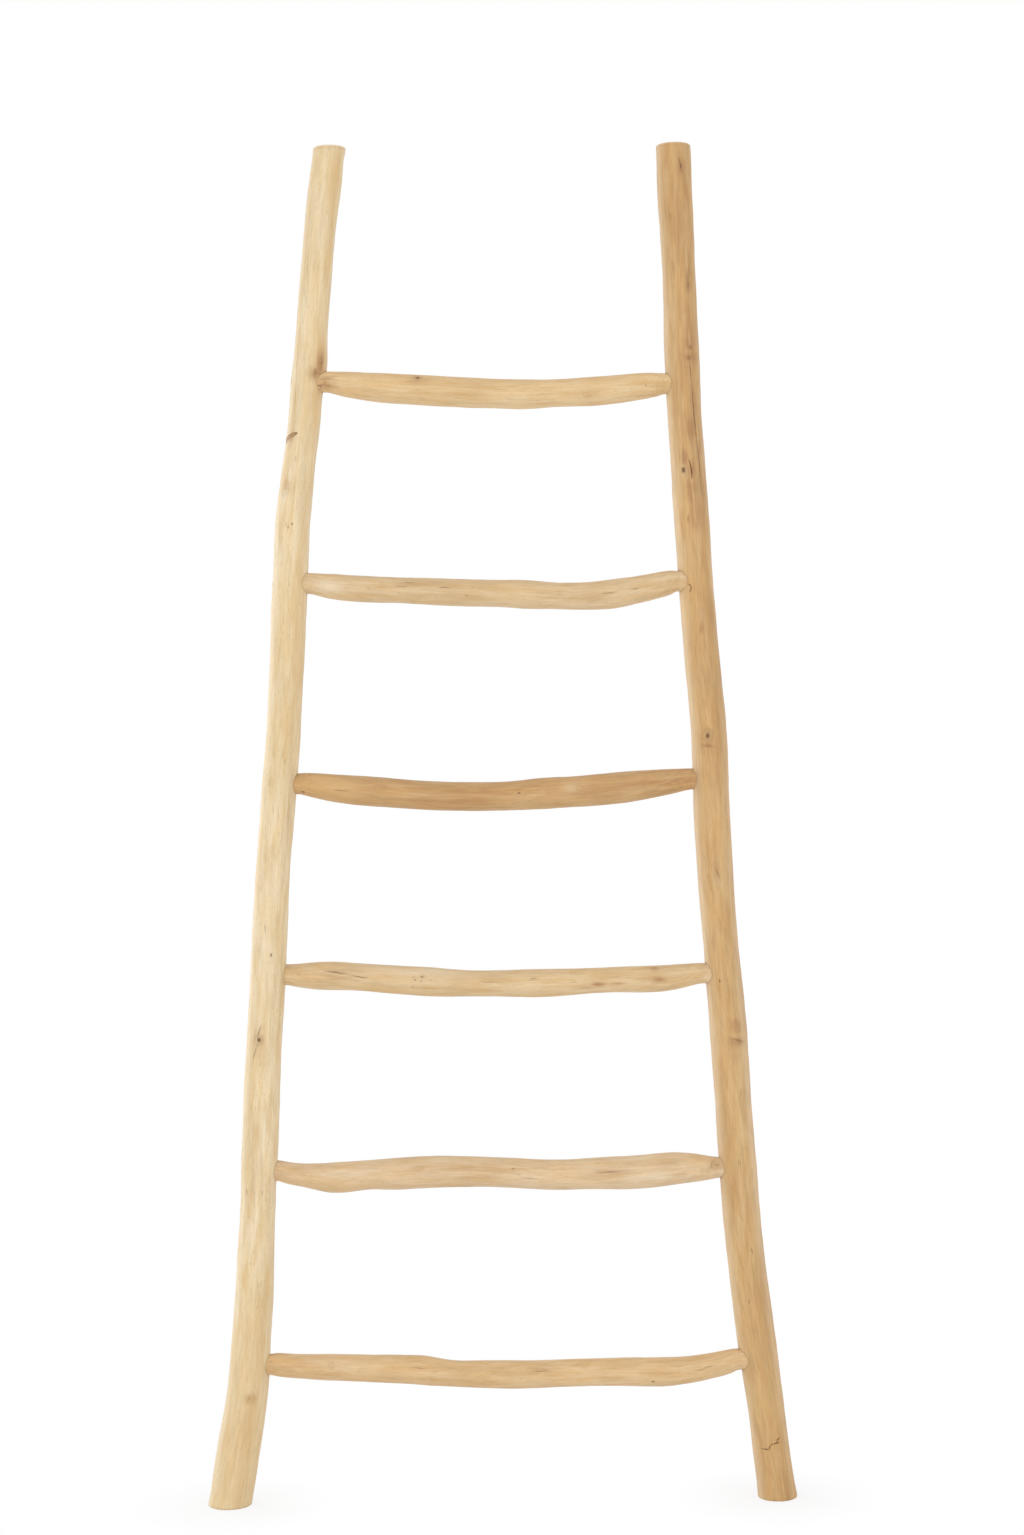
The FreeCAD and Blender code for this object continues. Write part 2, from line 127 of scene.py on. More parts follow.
# Thin dark lines: from (along, across) to (along, across), half width in MM and strength.
LINES = {
    "left_stile": [
        (1.667, -0.59, 1.6245, -0.55, 0.6, 0.3), (1.614, -0.68, 1.6007, -0.62, 0.5, 0.35),
        (1.7063, 0.67, 1.689, 0.76, 0.7, 0.2), (0.99, 0.18, 0.98, 0.18, 0.8, 0.3),
        (0.77, -0.31, 0.76, -0.29, 0.6, 0.6), (0.612, -0.36, 0.585, -0.62, 0.8, 0.5),
        (0.636, -0.24, 0.62, -0.4, 0.7, 0.6), (0.42, -0.63, 0.411, -0.63, 0.7, 0.6),
        (0.417, 0.21, 0.41, 0.22, 0.6, 0.5), (0.866, -0.57, 0.852, -0.53, 0.7, 0.2),
        (0.842, -0.49, 0.832, -0.46, 0.7, 0.2), (0.865, -0.02, 0.857, 0.0, 0.7, 0.22),
        (0.93, -0.3, 0.92, -0.28, 0.7, 0.16), (0.92, 0.05, 0.906, 0.08, 0.7, 0.18),
        (1.391, -0.25, 1.3825, -0.2, 0.5, 0.4), (1.507, 0.3, 1.4985, 0.45, 0.5, 0.4),
        (1.503, 0.55, 1.497, 0.7, 0.6, 0.5),
    ],
    "right_stile": [
        (1.779, 0.33, 1.76, 0.47, 1.3, 0.5), (1.406, 0.61, 1.35, 0.655, 0.8, 0.7),
        (1.355, 0.65, 1.325, 0.65, 0.6, 0.5), (1.512, 0.39, 1.48, 0.52, 0.7, 0.6),
        (1.3674, -0.37, 1.361, -0.21, 2.1, 1), (1.361, -0.37, 1.3674, -0.21, 2.1, 1),
        (1.5165, 0.36, 1.51, 0.44, 4.0, 0.4), (1.53, 0.45, 1.524, 0.55, 3.5, 0.36),
        (1.622, 0.5, 1.604, 0.55, 3.0, 0.36), (1.3043, -0.2, 1.295, -0.23, 0.7, 0.7),
        (1.2133, -0.45, 1.2105, -0.33, 0.7, 0.8), (1.2112, -0.33, 1.2052, -0.3, 0.8, 1),
        (1.2062, -0.3, 1.202, -0.4, 0.7, 0.8), (0.835, 0.03, 0.8217, 0.22, 0.6, 0.6),
        (0.609, 0.07, 0.6034, 0.81, 2.0, 0.35), (0.5438, 0.49, 0.5305, 0.45, 0.7, 0.4),
        (0.447, 0.06, 0.439, 0.07, 0.5, 0.4), (0.445, 0.15, 0.439, 0.16, 0.5, 0.4),
        (0.33, 0.37, 0.321, 0.37, 0.7, 0.6), (0.262, -0.12, 0.255, -0.1, 0.7, 0.5),
        (0.9986, -0.37, 0.9957, 0.24, 1.7, 0.22), (0.062, -0.08, 0.063, -0.5, 0.9, 0.8),
        (0.0734, 0.35, 0.0705, 0.44, 0.9, 0.8), (0.0692, 0.14, 0.068, 0.01, 0.9, 0.8),
    ],
    "rung_6": [
        (-0.2195, -0.62, -0.217, -0.2, 0.8, 0.6), (-0.214, -0.3, -0.2125, 0.15, 0.5, 0.35),
        (-0.2075, -0.5, -0.2065, -0.1, 0.4, 0.3), (0.19, -0.62, 0.2304, -0.9, 0.8, 0.2),
    ],
    "rung_5": [
        (-0.127, 0.36, -0.108, 0.36, 0.7, 0.5), (-0.113, 0.65, -0.098, 0.64, 0.7, 0.5),
        (-0.066, 0.34, -0.052, 0.35, 0.7, 0.5), (0.15, 0.09, 0.169, 0.1, 0.7, 0.5),
        (0.19, 0.07, 0.199, 0.08, 0.8, 0.6),
    ],
    "rung_4": [(0.2125, -0.43, 0.2606, 0.29, 1.2, 0.24), (-0.21, -0.15, -0.19, -0.1, 0.8, 0.4)],
    "rung_3": [
        (-0.2242, 0.32, -0.2, 0.16, 0.9, 0.6), (-0.19, 0.05, -0.17, -0.05, 0.9, 0.6),
        (0.0465, 0.3, 0.056, 0.3, 0.7, 0.5), (0.1, -0.1, 0.11, -0.08, 0.7, 0.3),
        (0.15, 0.2, 0.166, 0.22, 0.8, 0.25), (-0.02, 0.1, 0.004, 0.08, 0.6, 0.4),
    ],
    "rung_2": [
        (0.13, 0.02, 0.166, 0.06, 0.9, 0.5), (-0.24, -0.86, -0.216, -0.95, 0.8, 0.5),
        (0.03, -0.3, 0.055, -0.33, 0.6, 0.4), (0.2822, -0.12, 0.2839, 0.38, 1.3, 0.26),
        (0.2839, 0.38, 0.2893, 0.68, 1.3, 0.22),
    ],
    "rung_1": [
        (0.0405, 0.14, 0.066, 0.1, 0.7, 0.5), (0.256, -0.29, 0.271, -0.27, 0.5, 0.5),
        (0.268, -0.2, 0.281, -0.17, 0.5, 0.5), (-0.12, 0.1, -0.1, 0.12, 0.6, 0.4),
    ],
}
# Small dark dots: along, across, radius in MM and strength.
DOTS = {
    "left_stile": [
        (1.4875, 0.84, 1.7, 0.9), (1.5136, 0.68, 1.0, 0.6), (1.3009, -0.03, 1.3, 0.7),
        (1.297, -0.25, 1.3, 0.5), (0.7292, 0.1, 1.4, 0.8), (0.1415, 0.14, 1.6, 0.2),
    ],
    "right_stile": [(1.7677, 0.42, 1.6, 0.7), (1.3642, -0.29, 2.4, 1), (0.6849, -0.25, 1.4, 0.7)],
    "rung_6": [(0.2133, 0.03, 0.8, 0.7), (-0.2205, -0.35, 1.2, 0.8)],
    "rung_5": [(-0.03, -0.2, 1.2, 0.5)],
    "rung_4": [(0.0359, 0.15, 1.3, 0.7), (-0.2509, -0.72, 1.6, 0.9)],
    "rung_3": [
        (-0.1063, 0.04, 1.3, 0.45), (-0.0969, 0.28, 1.2, 0.6), (-0.098, -0.03, 1.2, 0.35),
        (-0.108, 0.24, 1.1, 0.3), (-0.109, -0.45, 1.3, 0.25), (-0.085, 0.1, 1.1, 0.25),
    ],
    "rung_2": [(0.02, 0.3, 1.2, 0.5), (0.2905, 0.12, 3.0, 0.2)],
    "rung_1": [(0.2009, -0.8, 1.3, 0.7)],
}
# Soft stains, among them a few long bands of painted highlight and painted shade: along, across, half
# length and half width in MM, and strength.
SMUDGES_AND_PAINTED_SHADE = {
    "left_stile": [
        (1.5136, 0.65, 16, 7, 0.9), (1.5016, 0.4, 10, 8, 0.8), (1.485, 0.8, 14, 6, 0.5),
        (0.615, -0.4, 18, 9, 0.4), (0.1403, 0.16, 8, 7, 0.35), (0.085, 0.1, 34, 9, 0.15),
        (1.353, -0.6, 16, 10, 0.25), (1.415, -0.7, 8, 6, 0.4), (0.92, 0.6, 70, 9, 0.2),
        (0.45, -0.2, 60, 8, 0.2),
    ],
    "right_stile": [
        (1.626, 0.5, 12, 5, 1), (1.607, 0.52, 10, 6, 1), (1.632, 0.4, 12, 4, 0.5),
        # Painted shade: (1.66, 0.55, 150, 9, 0.3) is a long darker band down the right side of the right
        # stile's top
        (1.768, 0.42, 14, 4, 0.9), (1.66, 0.55, 150, 9, 0.3), (1.7016, -0.34, 5, 4, 0.6),
        (1.153, 0.15, 9, 5, 0.8), (1.13, 0.16, 17, 4, 0.6), (1.175, 0.72, 24, 5, 0.5),
        (1.532, 0.4, 12, 8, 0.9), (1.515, 0.45, 9, 12, 0.8), (1.545, 0.5, 22, 12, 0.5),
        (1.44, 0.6, 50, 6, 0.65), (1.42, 0.33, 20, 10, 0.9), (1.381, -0.3, 12, 8, 1),
        (1.343, 0.1, 14, 9, 0.8), (1.365, 0.15, 16, 7, 0.9), (1.394, 0.62, 16, 8, 0.9),
        (1.33, 0, 12, 8, 0.8), (1.343, -0.3, 8, 6, 0.5), (1.3, 0.3, 30, 12, 0.6),
        (1.49, 0.2, 30, 9, 0.35), (1.35, 0.75, 40, 7, 0.45), (1.36, -0.2, 26, 18, 0.35),
        (1.39, 0.55, 30, 10, 0.5), (1.0, 0, 20, 16, 0.2), (0.998, -0.15, 4, 8, 0.8),
        (0.626, 0.42, 11, 8, 0.8), (0.604, 0.45, 6, 13, 0.8), (1.7, 0.1, 90, 16, 0.25),
        (1.57, -0.1, 80, 14, 0.2), (0.83, 0.12, 14, 8, 0.3), (0.4, 0.2, 60, 12, 0.2),
        (1.1, 0.5, 70, 10, 0.25),
    ],
    "rung_6": [(-0.0897, 0.7, 16, 10, 0.45), (-0.211, -0.1, 12, 14, 0.6)],
    "rung_5": [(0.12, 0.1, 60, 9, 0.2), (-0.09, 0.5, 50, 8, 0.2)],
    "rung_4": [(-0.1486, 0.21, 22, 10, 0.3), (-0.08, -0.4, 60, 10, 0.25), (0.16, -0.2, 70, 10, 0.25)],
    "rung_3": [
        (-0.2, 0.15, 30, 8, 0.35), (0.21, 0.2, 26, 14, 0.25), (0.2175, -0.13, 9, 3, 0.8),
        (0.2116, 0.7, 6, 2.5, 0.8), (0.137, -0.34, 9, 3, 0.8), (0.165, -0.33, 10, 2, 0.6),
        (0.12, -0.5, 12, 3, 0.5),
    ],
    "rung_2": [
        (0.15, 0.05, 24, 8, 0.28), (0.2866, 0.12, 9, 8, 0.35), (-0.05, 0.2, 60, 8, 0.2),
        (0.225, 0.3, 14, 5, 0.3), (0.2, -0.6, 12, 4, 0.4), (0.24, -0.55, 10, 4, 0.35),
    ],
    "rung_1": [(0.05, 0.12, 26, 9, 0.25), (-0.226, 0.1, 14, 12, 0.1)],
}
WARM_PATCHES_AND_PAINTED_SHADE = {
    "left_stile": [
        (1.525, 0.62, 34, 12, 0.9), (1.46, 0.7, 45, 12, 0.6), (1.38, -0.8, 30, 12, 0.6),
        (1.357, -0.72, 13, 7, 0.9), (0.3, -0.6, 16, 5, 0.8), (0.08, 0.3, 110, 30, 0.6),
        (0.1403, 0.16, 10, 9, 1), (1.77, 0.6, 40, 10, 0.9), (1.68, 0.7, 90, 8, 0.6),
        (0.6, -0.3, 30, 12, 0.4), (1.1, 0.3, 120, 14, 0.3), (0.22, 0.1, 50, 18, 0.4),
    ],
    "right_stile": [
        (1.36, -0.2, 26, 12, 0.5), (1.01, -0.05, 24, 16, 0.4), (0.62, 0.4, 30, 14, 0.4),
        # Painted shade: (0.9, 0.0, 1600, 13, 0.16) is a darker band down the whole middle of the right
        # stile
        (0.12, 0.1, 70, 20, 0.4), (0.85, 0.3, 80, 12, 0.3), (0.9, 0.0, 1600, 13, 0.16),
    ],
    "rung_6": [(-0.09, 0.6, 30, 12, 0.5), (-0.05, 0.9, 90, 6, 0.5)],
    "rung_5": [(0.0, 0.7, 90, 8, 0.3), (0.2, -0.6, 40, 8, 0.4), (0.03, 0.1, 28, 14, 0.4)],
    "rung_4": [(-0.15, 0.2, 30, 12, 0.3), (-0.22, 0.1, 50, 20, 0.7)],
    "rung_3": [(-0.145, -0.92, 34, 7, 1), (0.06, -0.92, 60, 5, 0.7), (0.16, 0.2, 90, 22, 0.3)],
    "rung_2": [(-0.2, -0.6, 50, 8, 0.4), (0.27, 0.5, 30, 10, 0.5)],
    "rung_1": [(0.04, 0.14, 30, 8, 0.3), (-0.09, 0.9, 40, 6, 0.5)],
}
PALE_PATCHES_AND_PAINTED_HIGHLIGHT = {
    "left_stile": [
        (1.338, -0.6, 9, 5, 0.6), (1.366, -0.45, 9, 4, 0.5), (1.7, -0.2, 60, 12, 0.3),
        # Painted highlight: (0.9, -0.97, 1600, 8, 0.3) is a pale band down the whole left edge of the
        # left stile
        (0.75, -0.2, 90, 10, 0.3), (0.9, -0.97, 1600, 8, 0.3),
    ],
    "right_stile": [
        # Painted highlight: (0.9, -0.95, 1600, 11, 0.4) is a pale band down the whole left edge of the
        # right stile
        (0.9, -0.95, 1600, 11, 0.4), (0.45, 0.86, 450, 7, 0.25), (1.1739, 0.14, 9, 5, 0.15),
        (0.8191, 0.06, 6, 4, 0.15), (1.364, -0.29, 7, 6, 0.25),
    ],
    "rung_6": [(-0.02, -0.6, 70, 8, 0.1)],
    "rung_5": [(-0.2158, -0.02, 18, 9, 0.6)],
    "rung_4": [(0.104, 0.25, 12, 7, 0.22)],
    "rung_3": [(-0.1, 0.6, 60, 8, 0.4)],
    "rung_2": [(0.2054, -0.35, 26, 8, 0.4), (-0.2, 0.3, 50, 8, 0.15)],
    "rung_1": [(-0.22, 0.3, 40, 8, 0.2)],
}
# Open cracks: places along and across that the crack runs through, its width and depth in MM.
CRACKS = {
    "left_stile": [([(1.5716, -0.89), (1.5327, -0.785), (1.48, -0.67), (1.4305, -0.555)], 0.5, 1.4)],
    "right_stile": [
        ([(1.486, 0.51), (1.4558, 0.56), (1.4238, 0.585), (1.4, 0.625)], 1.3, 3.4),
        ([(1.3795, 0.03), (1.3645, 0.16), (1.351, 0.12)], 1.9, 2.6),
        ([(0.0777, 0.56), (0.0734, 0.34)], 1.7, 2.2),
        ([(0.0705, 0.45), (0.0692, 0.12)], 1.8, 2.4),
        ([(0.068, 0.01), (0.0623, -0.12)], 1.8, 2.2),
    ],
}
# A knife or saw scar: from (along, across) to (along, across), its width and depth in MM.
SCARS = {
    "left_stile": [(1.423, -0.38, 1.4105, -1.0, 6.5, 1.4)],
}
# Ridges between two long flats: from (along, across) to (along, across), half width and height in MM.
RIDGES = {
    "left_stile": [(1.3857, 0.17, 1.253, 0.46, 5, 0.6)],
    "rung_1": [(-0.1131, 0.8, -0.0601, 0.8, 4, 0.5)],
    "rung_4": [(0.2125, -0.43, 0.2606, 0.29, 4, 0.5)],
}

# Marks where the photograph doesn't show a stick: how many there are on a whole stile, the ranges
# of their lengths and widths in MM, and of their rise in MM, their drift or their strength
BACK_KNOTS = (7, (4, 9), (3, 6), (0.3, 0.8))
BACK_LINES = (12, (8, 40), (-0.06, 0.06))
BACK_STAINS = (14, (12, 70), (6, 14), (0.2, 0.5))
# The share of a stick that they keep from its ends, and the shares of a turn that they lie between
BACK_MARGIN, BACK_TURNS = 0.06, (0.3, 0.7)
STILE_LENGTH = 1.8

# Swellings all over a stick: waves round it, their length along it in metres and height in MM
SWELLINGS = [(0, 0.09, 0.03), (2, 0.24, 0.14), (3, 0.15, 0.1), (4, 0.1, 0.06), (6, 0.05, 0.04),
             (9, 0.03, 0.03)]
# How often each comes back on a stick, and how much shorter or longer
SWELLING_SETS, SWELLING_STRETCH = 3, (0.6, 1.5)
# Long flats left by the drawknife: how many there are round a stick, how deep they are in MM, how
# much they may wind and how fast they fade in and out, in radians per metre
FLATS, FLAT_DEPTH, FLAT_TWIST, FLAT_FADING = 9, 0.26, 2, 9
# A knot's mound and the hollow in it, in knots, the hollow's depth, and its rings' pace and rise
KNOT_MOUND, KNOT_HOLLOW, KNOT_HOLLOW_DEPTH = 1.5, 0.4, 0.5
KNOT_RING_PACE, KNOT_RING_RISE = 9, 0.15
# How far round a knot the grain bends, in knots, and how much
FLOW_LONG, FLOW_WIDE, FLOW_BEND = 2.2, 1.3, 0.3
RIDGE_SHARPNESS = 1.5
# A scar's leaf shape: how blunt its ends are, its bow in MM, the least of its width that counts,
# how soft its upper edge is, how it runs out below, and how much of that is left at the lower edge
SCAR_BLUNTNESS, SCAR_BOW, SCAR_TIP = 0.35, 1.2, 0.05
SCAR_EDGE, SCAR_RUNOUT, SCAR_LOW_SHARE = 0.8 * MM, 2 * MM, 0.3

# The blade that opens a crack: its rings, how narrow and blunt its tips are, the length from which
# a crack is fully rough, its shivers (height in MM, pace, shift) and the wave of its width
CRACK_CUTS = (40,)
CRACK_TIP, CRACK_BLUNTNESS, ROUGH_CRACK_LENGTH = 0.02, 0.6, 0.08
CRACK_SHIVERS = ((0.22, 330, 7), (0.12, 900, 0))
CRACK_WIDTH_WAVE = (0.9, 0.2, 500)

# Whittled ends of the rungs: the cuts round them, how far each may stray and reaches, what it
# leaves of the radius, and where the branch's own relief is back
KNIFE_CUTS, KNIFE_STRAY = (7, 10), 0.3
KNIFE_REACH = (30 * MM, 78 * MM)
KNIFE_DEPTH_SHARES, KNIFE_CLEAR_SHARE = (0.925, 0.975), 1.03
KNIFE_HALF_TURN = 1.2
TENON_FADE, CALM_REACH = 3 * MM, 12 * MM

# Wear and painted shade, as strengths of pale, smudge and painted shade: the worn rim at the top and the
# line below it, the soiled foot, the painted shade round a tenon's mouth, and the painted shade down in
# cracks and holes
RIM_WEAR, WORN_RIM, SMUDGED_RIM = 2 * MM, 0.35, 0.3
SOIL_REACH, SOILED_FOOT = 3 * MM, 0.4
MOUTH_SHADE_REACH, MOUTH_SHADE = 2.5 * MM, 0.28
SUNK_SHADE_FROM, SUNK_SHADE_FADE = 0.4 * MM, 2 * MM
# What the knife takes of the radius where the wood looks freshly cut
FRESH_CUT_SHARE = 0.012

# Soft panels of light: place, width, height and watts
LAMPS = {
    "left_rear_panel": ((-2.3, 1.3, 1.0), 1.4, 2.6, 27),
    "right_rear_panel": ((2.4, 1.5, 1.0), 1.2, 2.6, 12),
    "left_front_panel": ((-3.1, -2.5, 1.2), 2.0, 2.4, 29),
    "right_front_panel": ((3.1, -2.6, 1.1), 2.0, 2.4, 24),
    "upper_panel": ((0, -1.5, 3.6), 2.0, 2.0, 18),
    "lower_panel": ((0, -2.6, 0.12), 2.0, 0.2, 11),
}
LAMP_AIM = (0, 0, 0.9)
WORLD_LEVEL = 0.63
FLOOR_SPAN, FLOOR_LEVEL = 60, 0.86
# How far the feet stand from the middle, and the shadow round them: from, to, and its strengths. The
# shadow is partly real and partly painted: a disc of matt floor round each foot shows the real shadow,
# and is greyer than plain white even where none falls
FOOT_X, FOOT_SHADOW = 0.363, (0.02, 0.14, 0.2, 0)


def paint(red, green, blue):
    """A display colour of 0 to 255 as a linear colour for a shader."""
    def linear(level):
        share = level / 255
        return share / 12.92 if share <= 0.04045 else ((share + 0.055) / 1.055) ** 2.4
    return (linear(red), linear(green), linear(blue), 1.0)


# Tones of each stick: its pale, middle and deep wood
TONES = {
    "left_stile": (paint(234, 216, 182), paint(222, 201, 162), paint(207, 181, 138)),
    "right_stile": (paint(212, 179, 129), paint(197, 160, 108), paint(176, 136, 87)),
    "rung_6": (paint(228, 202, 161), paint(218, 188, 142), paint(200, 166, 117)),
    "rung_5": (paint(225, 202, 166), paint(214, 187, 147), paint(196, 167, 124)),
    "rung_4": (paint(208, 174, 126), paint(194, 156, 106), paint(173, 133, 87)),
    "rung_3": (paint(226, 204, 169), paint(215, 188, 146), paint(197, 165, 122)),
    "rung_2": (paint(227, 204, 170), paint(216, 189, 152), paint(198, 167, 126)),
    "rung_1": (paint(226, 198, 156), paint(215, 183, 138), paint(196, 161, 114)),
    "plug": (paint(222, 196, 152), paint(206, 174, 128), paint(184, 148, 102)),
}
SMUDGE_AND_SHADE_TINT = paint(172, 129, 85)
WARM_AND_SHADE_TINT = paint(212, 175, 118)
PALE_AND_HIGHLIGHT_TINT = paint(240, 227, 200)
MARK_TINT = paint(97, 60, 29)
FLECK_TINT = paint(168, 138, 103)
# What the warmer blotches of the wood are multiplied by
GLOW_TINT = paint(252, 241, 222)
SCAR_TINT = paint(166, 131, 90)
ZINC_TONES = paint(198, 200, 196), paint(176, 176, 166)

# The layers of the grain: how wide and long their features are, their detail and their shift
GRAIN = {
    "patches": (0.05, 0.26, 2, 3.1),
    "blotches": (0.007, 0.045, 3, 4.4),
    "bands": (0.009, 0.2, 2, 6.3),
    "streaks": (0.0028, 0.05, 3, 7.7),
    "fibres": (0.001, 0.024, 3, 1.3),
    "pores": (0.0005, 0.006, 2, 5.9),
    "flecks": (0.0011, 0.008, 2, 9.2),
    "glow": (0.009, 0.06, 3, 8.8),
}
# What the layers add up to, and where on that sum the pale, middle and deep tones stand
TONE_START = -0.5
TONE_WEIGHTS = {"patches": 0.68, "bands": 0.34, "streaks": 0.46, "fibres": 0.46}
TONE_PLACES = (0.2, 0.5, 0.82)
# What lies over the tones: layer, where it starts and is full, strength, tint or deep wood, and how
OVERLAYS = [
    ("blotches", 0.46, 0.68, 0.5, None, "MIX"),
    ("glow", 0.42, 0.62, 0.7, GLOW_TINT, "MULTIPLY"),
    ("fibres", 0.56, 0.72, 0.16, None, "MULTIPLY"),
    ("pores", 0.6, 0.74, 0.22, None, "MULTIPLY"),
    ("flecks", 0.63, 0.73, 0.55, FLECK_TINT, "MIX"),
]
# How the layers and marks stand out of the skin or sink into it, and how deep each finish goes
STREAK_RELIEF, FIBRE_RELIEF, PORE_RELIEF, RING_RELIEF, MARK_RELIEF = 0.8, 0.5, -0.9, 0.15, -3.0
BRANCH_BUMP, END_BUMP, PLUG_BUMP, SCREW_BUMP = 0.22 * MM, 0.25 * MM, 0.2 * MM, 0.03 * MM
# In these and other sets of four, a value from the first to the second becomes the third to the fourth
WOOD_ROUGHNESS = (0.3, 0.7, 0.5, 0.62)
END_ROUGHNESS = (0.3, 0.7, 0.62, 0.74)
ZINC_ROUGHNESS = (0.35, 0.7, 0.28, 0.5)
SURFACE_IOR = 1.45
# The dry, pale bloom of unvarnished wood seen at a flat angle
SHEEN, SHEEN_ROUGHNESS = 0.08, 0.5
# How streaks and blotches break up a smudge or painted shade band, and how strong the other stains and
# the painted highlight and shade bands are at most
SMUDGE_STREAKS, SMUDGE_BLOTCHES = (0.35, 0.62, 0.3, 0.8), (0.4, 0.6, 0, 0.8)
WARM_AND_SHADE_COVER, PALE_AND_HIGHLIGHT_COVER = 0.75, 0.8
# Rings of growth where the knife cut through them, and on a sawn end, and how much they waver
CUT_RING_SPACING, CUT_RINGS = 1.7 * MM, (-0.2, 1, 0, 0.09)
END_RING_SPACING, RING_TONE_PLACES = 2.1 * MM, (0.0, 0.55, 1.0)
RING_WAVER, END_WAVER_SCALE = 0.004, 90.0
# Kinds of knot: how strong its colour is from outside it to its heart, the colour, and its dent
KNOT_KINDS = {
    "faint": ([(0.0, 0), (0.24, 0.06), (0.34, 0.27), (0.44, 0.08), (0.6, 0.2), (0.74, 0.08), (1.0, 0.3)],
              SMUDGE_AND_SHADE_TINT, 0.0),
    "clear": ([(0.0, 0), (0.24, 0.1), (0.36, 0.6), (0.48, 0.22), (0.62, 0.4), (0.76, 0.2), (1.0, 0.6)],
              SMUDGE_AND_SHADE_TINT, 0.1),
    "dark": ([(0.0, 0), (0.22, 0.06), (0.34, 0.2), (0.45, 0.12), (0.66, 0.25), (0.78, 0.6), (0.9, 1)],
             MARK_TINT, 0.6),
}
KNOT_REACH = 1.5
# The noise that moves lines and knots to and fro: its scale, and how far it moves them
LINE_WAVER, KNOT_SWIRL = (130.0, 0.0022), (75.0, 0.009)
# Lines and dots fade towards their edges, so their marks are drawn larger and stronger
LINE_WIDENING, LINE_LENGTH_SHARE, LINE_GAIN, LINE_COVER = 1.4, 0.7, 1.5, 0.9
BACK_LINE_WEIGHT = (0.7, 0.6)
DOT_SHAPE = (1.3, 2.2)
# The bare floor and the dark rim of a scar, and its length beside that of its stroke
SCAR_FLOOR, SCAR_RIM, SCAR_FIBRES = (0.0, 0.1), (0.1, 0.4, 0.6, 0), (0.3, 0.7, 0.75, 1)
SCAR_LENGTH_SHARE = 0.56
# A sawn end: where its pith lies, its dark heart, its rays, its checks and the saw's scratches
PITH_SHIFT, PITH_STRETCH = (0.003, -0.002, 0), (1, 1.12, 0)
HEART = (0.002, 0.014, 0.55, 0)
RAY_SCALES, RAYS = (22.0, 60.0), (0.58, 0.7, 0, 0.3)
CHECKS, CHECK_WAVER, CHECK_WIDTH, CHECK_REACH = 3.0, 1.6, (0.994, 1, 0, 1), (0.003, 0.016, 1, 0)
SAW_SCRATCHES = (0.0006, 0.03, 2, 2.2)
# A screw: how fine its turning marks are along and across it, and the places of its zinc's tones
TURNING_MARKS, SPOT_SCALE, ZINC_PLACES = (9000, 300, 300), 400.0, (0.35, 0.6)


# Working with one piece in edit mode

def only(piece):
    """Selects one piece and nothing else."""
    bpy.ops.object.select_all(action="DESELECT")
    piece.select_set(True)
    bpy.context.view_layer.objects.active = piece


def newest(name):
    """The piece that a primitive has just made, under its own name."""
    piece = bpy.context.object
    piece.name = piece.data.name = name
    return piece


def points_of(piece):
    found = np.empty(len(piece.data.vertices) * 3)
    piece.data.vertices.foreach_get("co", found)
    return found.reshape(-1, 3)


def edges_of(piece):
    found = np.empty(len(piece.data.edges) * 2, int)
    piece.data.edges.foreach_get("vertices", found)
    return found.reshape(-1, 2)


def move_points(piece, points):
    piece.data.vertices.foreach_set("co", np.ascontiguousarray(points).ravel())
    piece.data.update()


def open_with(piece, kind, chosen):
    """Opens a piece in edit mode with only the chosen edges or faces selected."""
    only(piece)
    bpy.context.tool_settings.mesh_select_mode = (False, kind == "edges", kind == "polygons")
    for group in (piece.data.vertices, piece.data.edges, piece.data.polygons):
        group.foreach_set("select", np.zeros(len(group), bool))
    getattr(piece.data, kind).foreach_set("select", np.asarray(chosen, bool))
    bpy.ops.object.mode_set(mode="EDIT")


def close():
    bpy.ops.object.mode_set(mode="OBJECT")


def face_outwards(piece):
    open_with(piece, "polygons", np.ones(len(piece.data.polygons)))
    bpy.ops.mesh.normals_make_consistent(inside=False)
    close()


def cut_into_rings(piece, cuts):
    """Divides the lengthwise edges of an upright tube, over and over, into even rings."""
    for number in cuts:
        points, edges = points_of(piece), edges_of(piece)
        near, far = points[edges[:, 0]], points[edges[:, 1]]
        upright = np.abs(near[:, 2] - far[:, 2]) > NEGLIGIBLE
        open_with(piece, "edges", upright)
        bpy.ops.mesh.subdivide(number_cuts=number)
        close()


def branch_tube(name, sides, cuts):
    """A tube of radius 1 and height 1: even rings along it, and a rim and rings in both caps."""
    bpy.ops.object.select_all(action="DESELECT")
    bpy.ops.mesh.primitive_cylinder_add(vertices=sides, radius=1, depth=1)
    piece = newest(name)
    open_with(piece, "polygons", [len(face.vertices) == sides for face in piece.data.polygons])
    for _ in range(RIM_INSETS):
        bpy.ops.mesh.inset(thickness=RIM_SHARE / RIM_INSETS)
    for _ in range(FACE_INSETS):
        bpy.ops.mesh.inset(thickness=(1 - RIM_SHARE) / (FACE_INSETS + 1))
    bpy.ops.mesh.poke()
    close()
    cut_into_rings(piece, cuts)
    return piece


